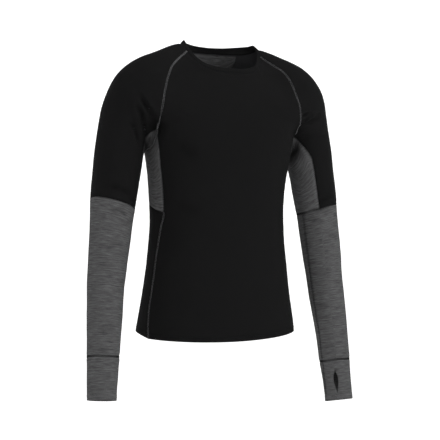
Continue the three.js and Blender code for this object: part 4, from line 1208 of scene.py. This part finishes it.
# The camera
view = {"azimuth": -24, "distance": 2.95, "height": -0.405, "aside": 0.0091, "lens": 106.2, "roll": 1.2}
turned = math.radians(view["azimuth"])
backWay = Vector((math.sin(turned), -math.cos(turned), 0))
rightWay = Vector((math.cos(turned), math.sin(turned), 0))
camera = bpy.data.objects.new("camera", bpy.data.cameras.new("camera"))
bpy.context.collection.objects.link(camera)
camera.data.lens = view["lens"]
camera.data.sensor_width = 36
camera.data.clip_end = 50
camera.location = backWay * view["distance"] + rightWay * view["aside"] + Vector((0, 0, view["height"]))
aim = (-backWay).to_track_quat("-Z", "Y")
camera.rotation_euler = (aim.to_matrix() @ Matrix.Rotation(math.radians(view["roll"]), 3, "Z")).to_euler()
bpy.context.scene.camera = camera

# Floor, sky and lights
studio = {"floor": -1.45, "floorColour": 0.85, "floorGlow": 0.55, "sky": 0.28}
floorPoints = [(0, 0, 0)]
ringCount = 72
profileLine = [(4.5, 0), (6, 0.06), (7.2, 0.5), (8.2, 1.6), (8.7, 3.2), (9, 6)]
for radius, height in profileLine:
    for k in range(ringCount):
        a = 2 * math.pi * k / ringCount
        floorPoints.append((radius * math.cos(a), radius * math.sin(a), height))
floorFaces = [(0, 1 + k, 1 + (k + 1) % ringCount) for k in range(ringCount)]
for r in range(len(profileLine) - 1):
    for k in range(ringCount):
        a, b = 1 + r * ringCount + k, 1 + r * ringCount + (k + 1) % ringCount
        floorFaces.append((a, a + ringCount, b + ringCount, b))
floorMesh = bpy.data.meshes.new("floor")
floorMesh.from_pydata([(x, y, z + studio["floor"]) for x, y, z in floorPoints], [], floorFaces)
floorMesh.polygons.foreach_set("use_smooth", [True] * len(floorFaces))
floor = bpy.data.objects.new("floor", floorMesh)
bpy.context.collection.objects.link(floor)
floorMaterial = bpy.data.materials.new("white_floor")
floorMaterial.use_nodes = True
floorShader = floorMaterial.node_tree.nodes["Principled BSDF"]
floorShader.inputs["Base Color"].default_value = (*[studio["floorColour"]] * 3, 1)
floorShader.inputs["Roughness"].default_value = 0.9
floorShader.inputs["Emission Color"].default_value = (1, 1, 1, 1)
floorShader.inputs["Emission Strength"].default_value = studio["floorGlow"]
floorMesh.materials.append(floorMaterial)

world = bpy.data.worlds.new("studio")
bpy.context.scene.world = world
world.use_nodes = True
world.node_tree.nodes["Background"].inputs["Color"].default_value = (1, 1, 1, 1)
sky = Tree(world.node_tree)
seen = sky.node("ShaderNodeLightPath")
strength = seen * (1 - studio["sky"]) + studio["sky"]
world.node_tree.links.new(strength.socket, world.node_tree.nodes["Background"].inputs["Strength"])
# Each light: place, size and power
lights = {
    "key": ((2.0, -2.6, 1.7), 1.6, 68),
    "fill": ((-2.9, -1.8, 0.2), 2.2, 9),
    "top": ((-0.2, -0.5, 2.6), 1.8, 46),
    "behind": ((0.5, 2.8, 0.6), 2.4, 8),
}
for name, (place, size, power) in lights.items():
    light = bpy.data.lights.new(name, "AREA")
    light.shape, light.size, light.energy = "DISK", size, power
    lamp = bpy.data.objects.new(name, light)
    lamp.location = place
    lamp.rotation_euler = (Vector((0, 0, -0.4)) - Vector(place)).to_track_quat("-Z", "Y").to_euler()
    bpy.context.collection.objects.link(lamp)
bpy.context.scene.view_settings.view_transform = "Standard"
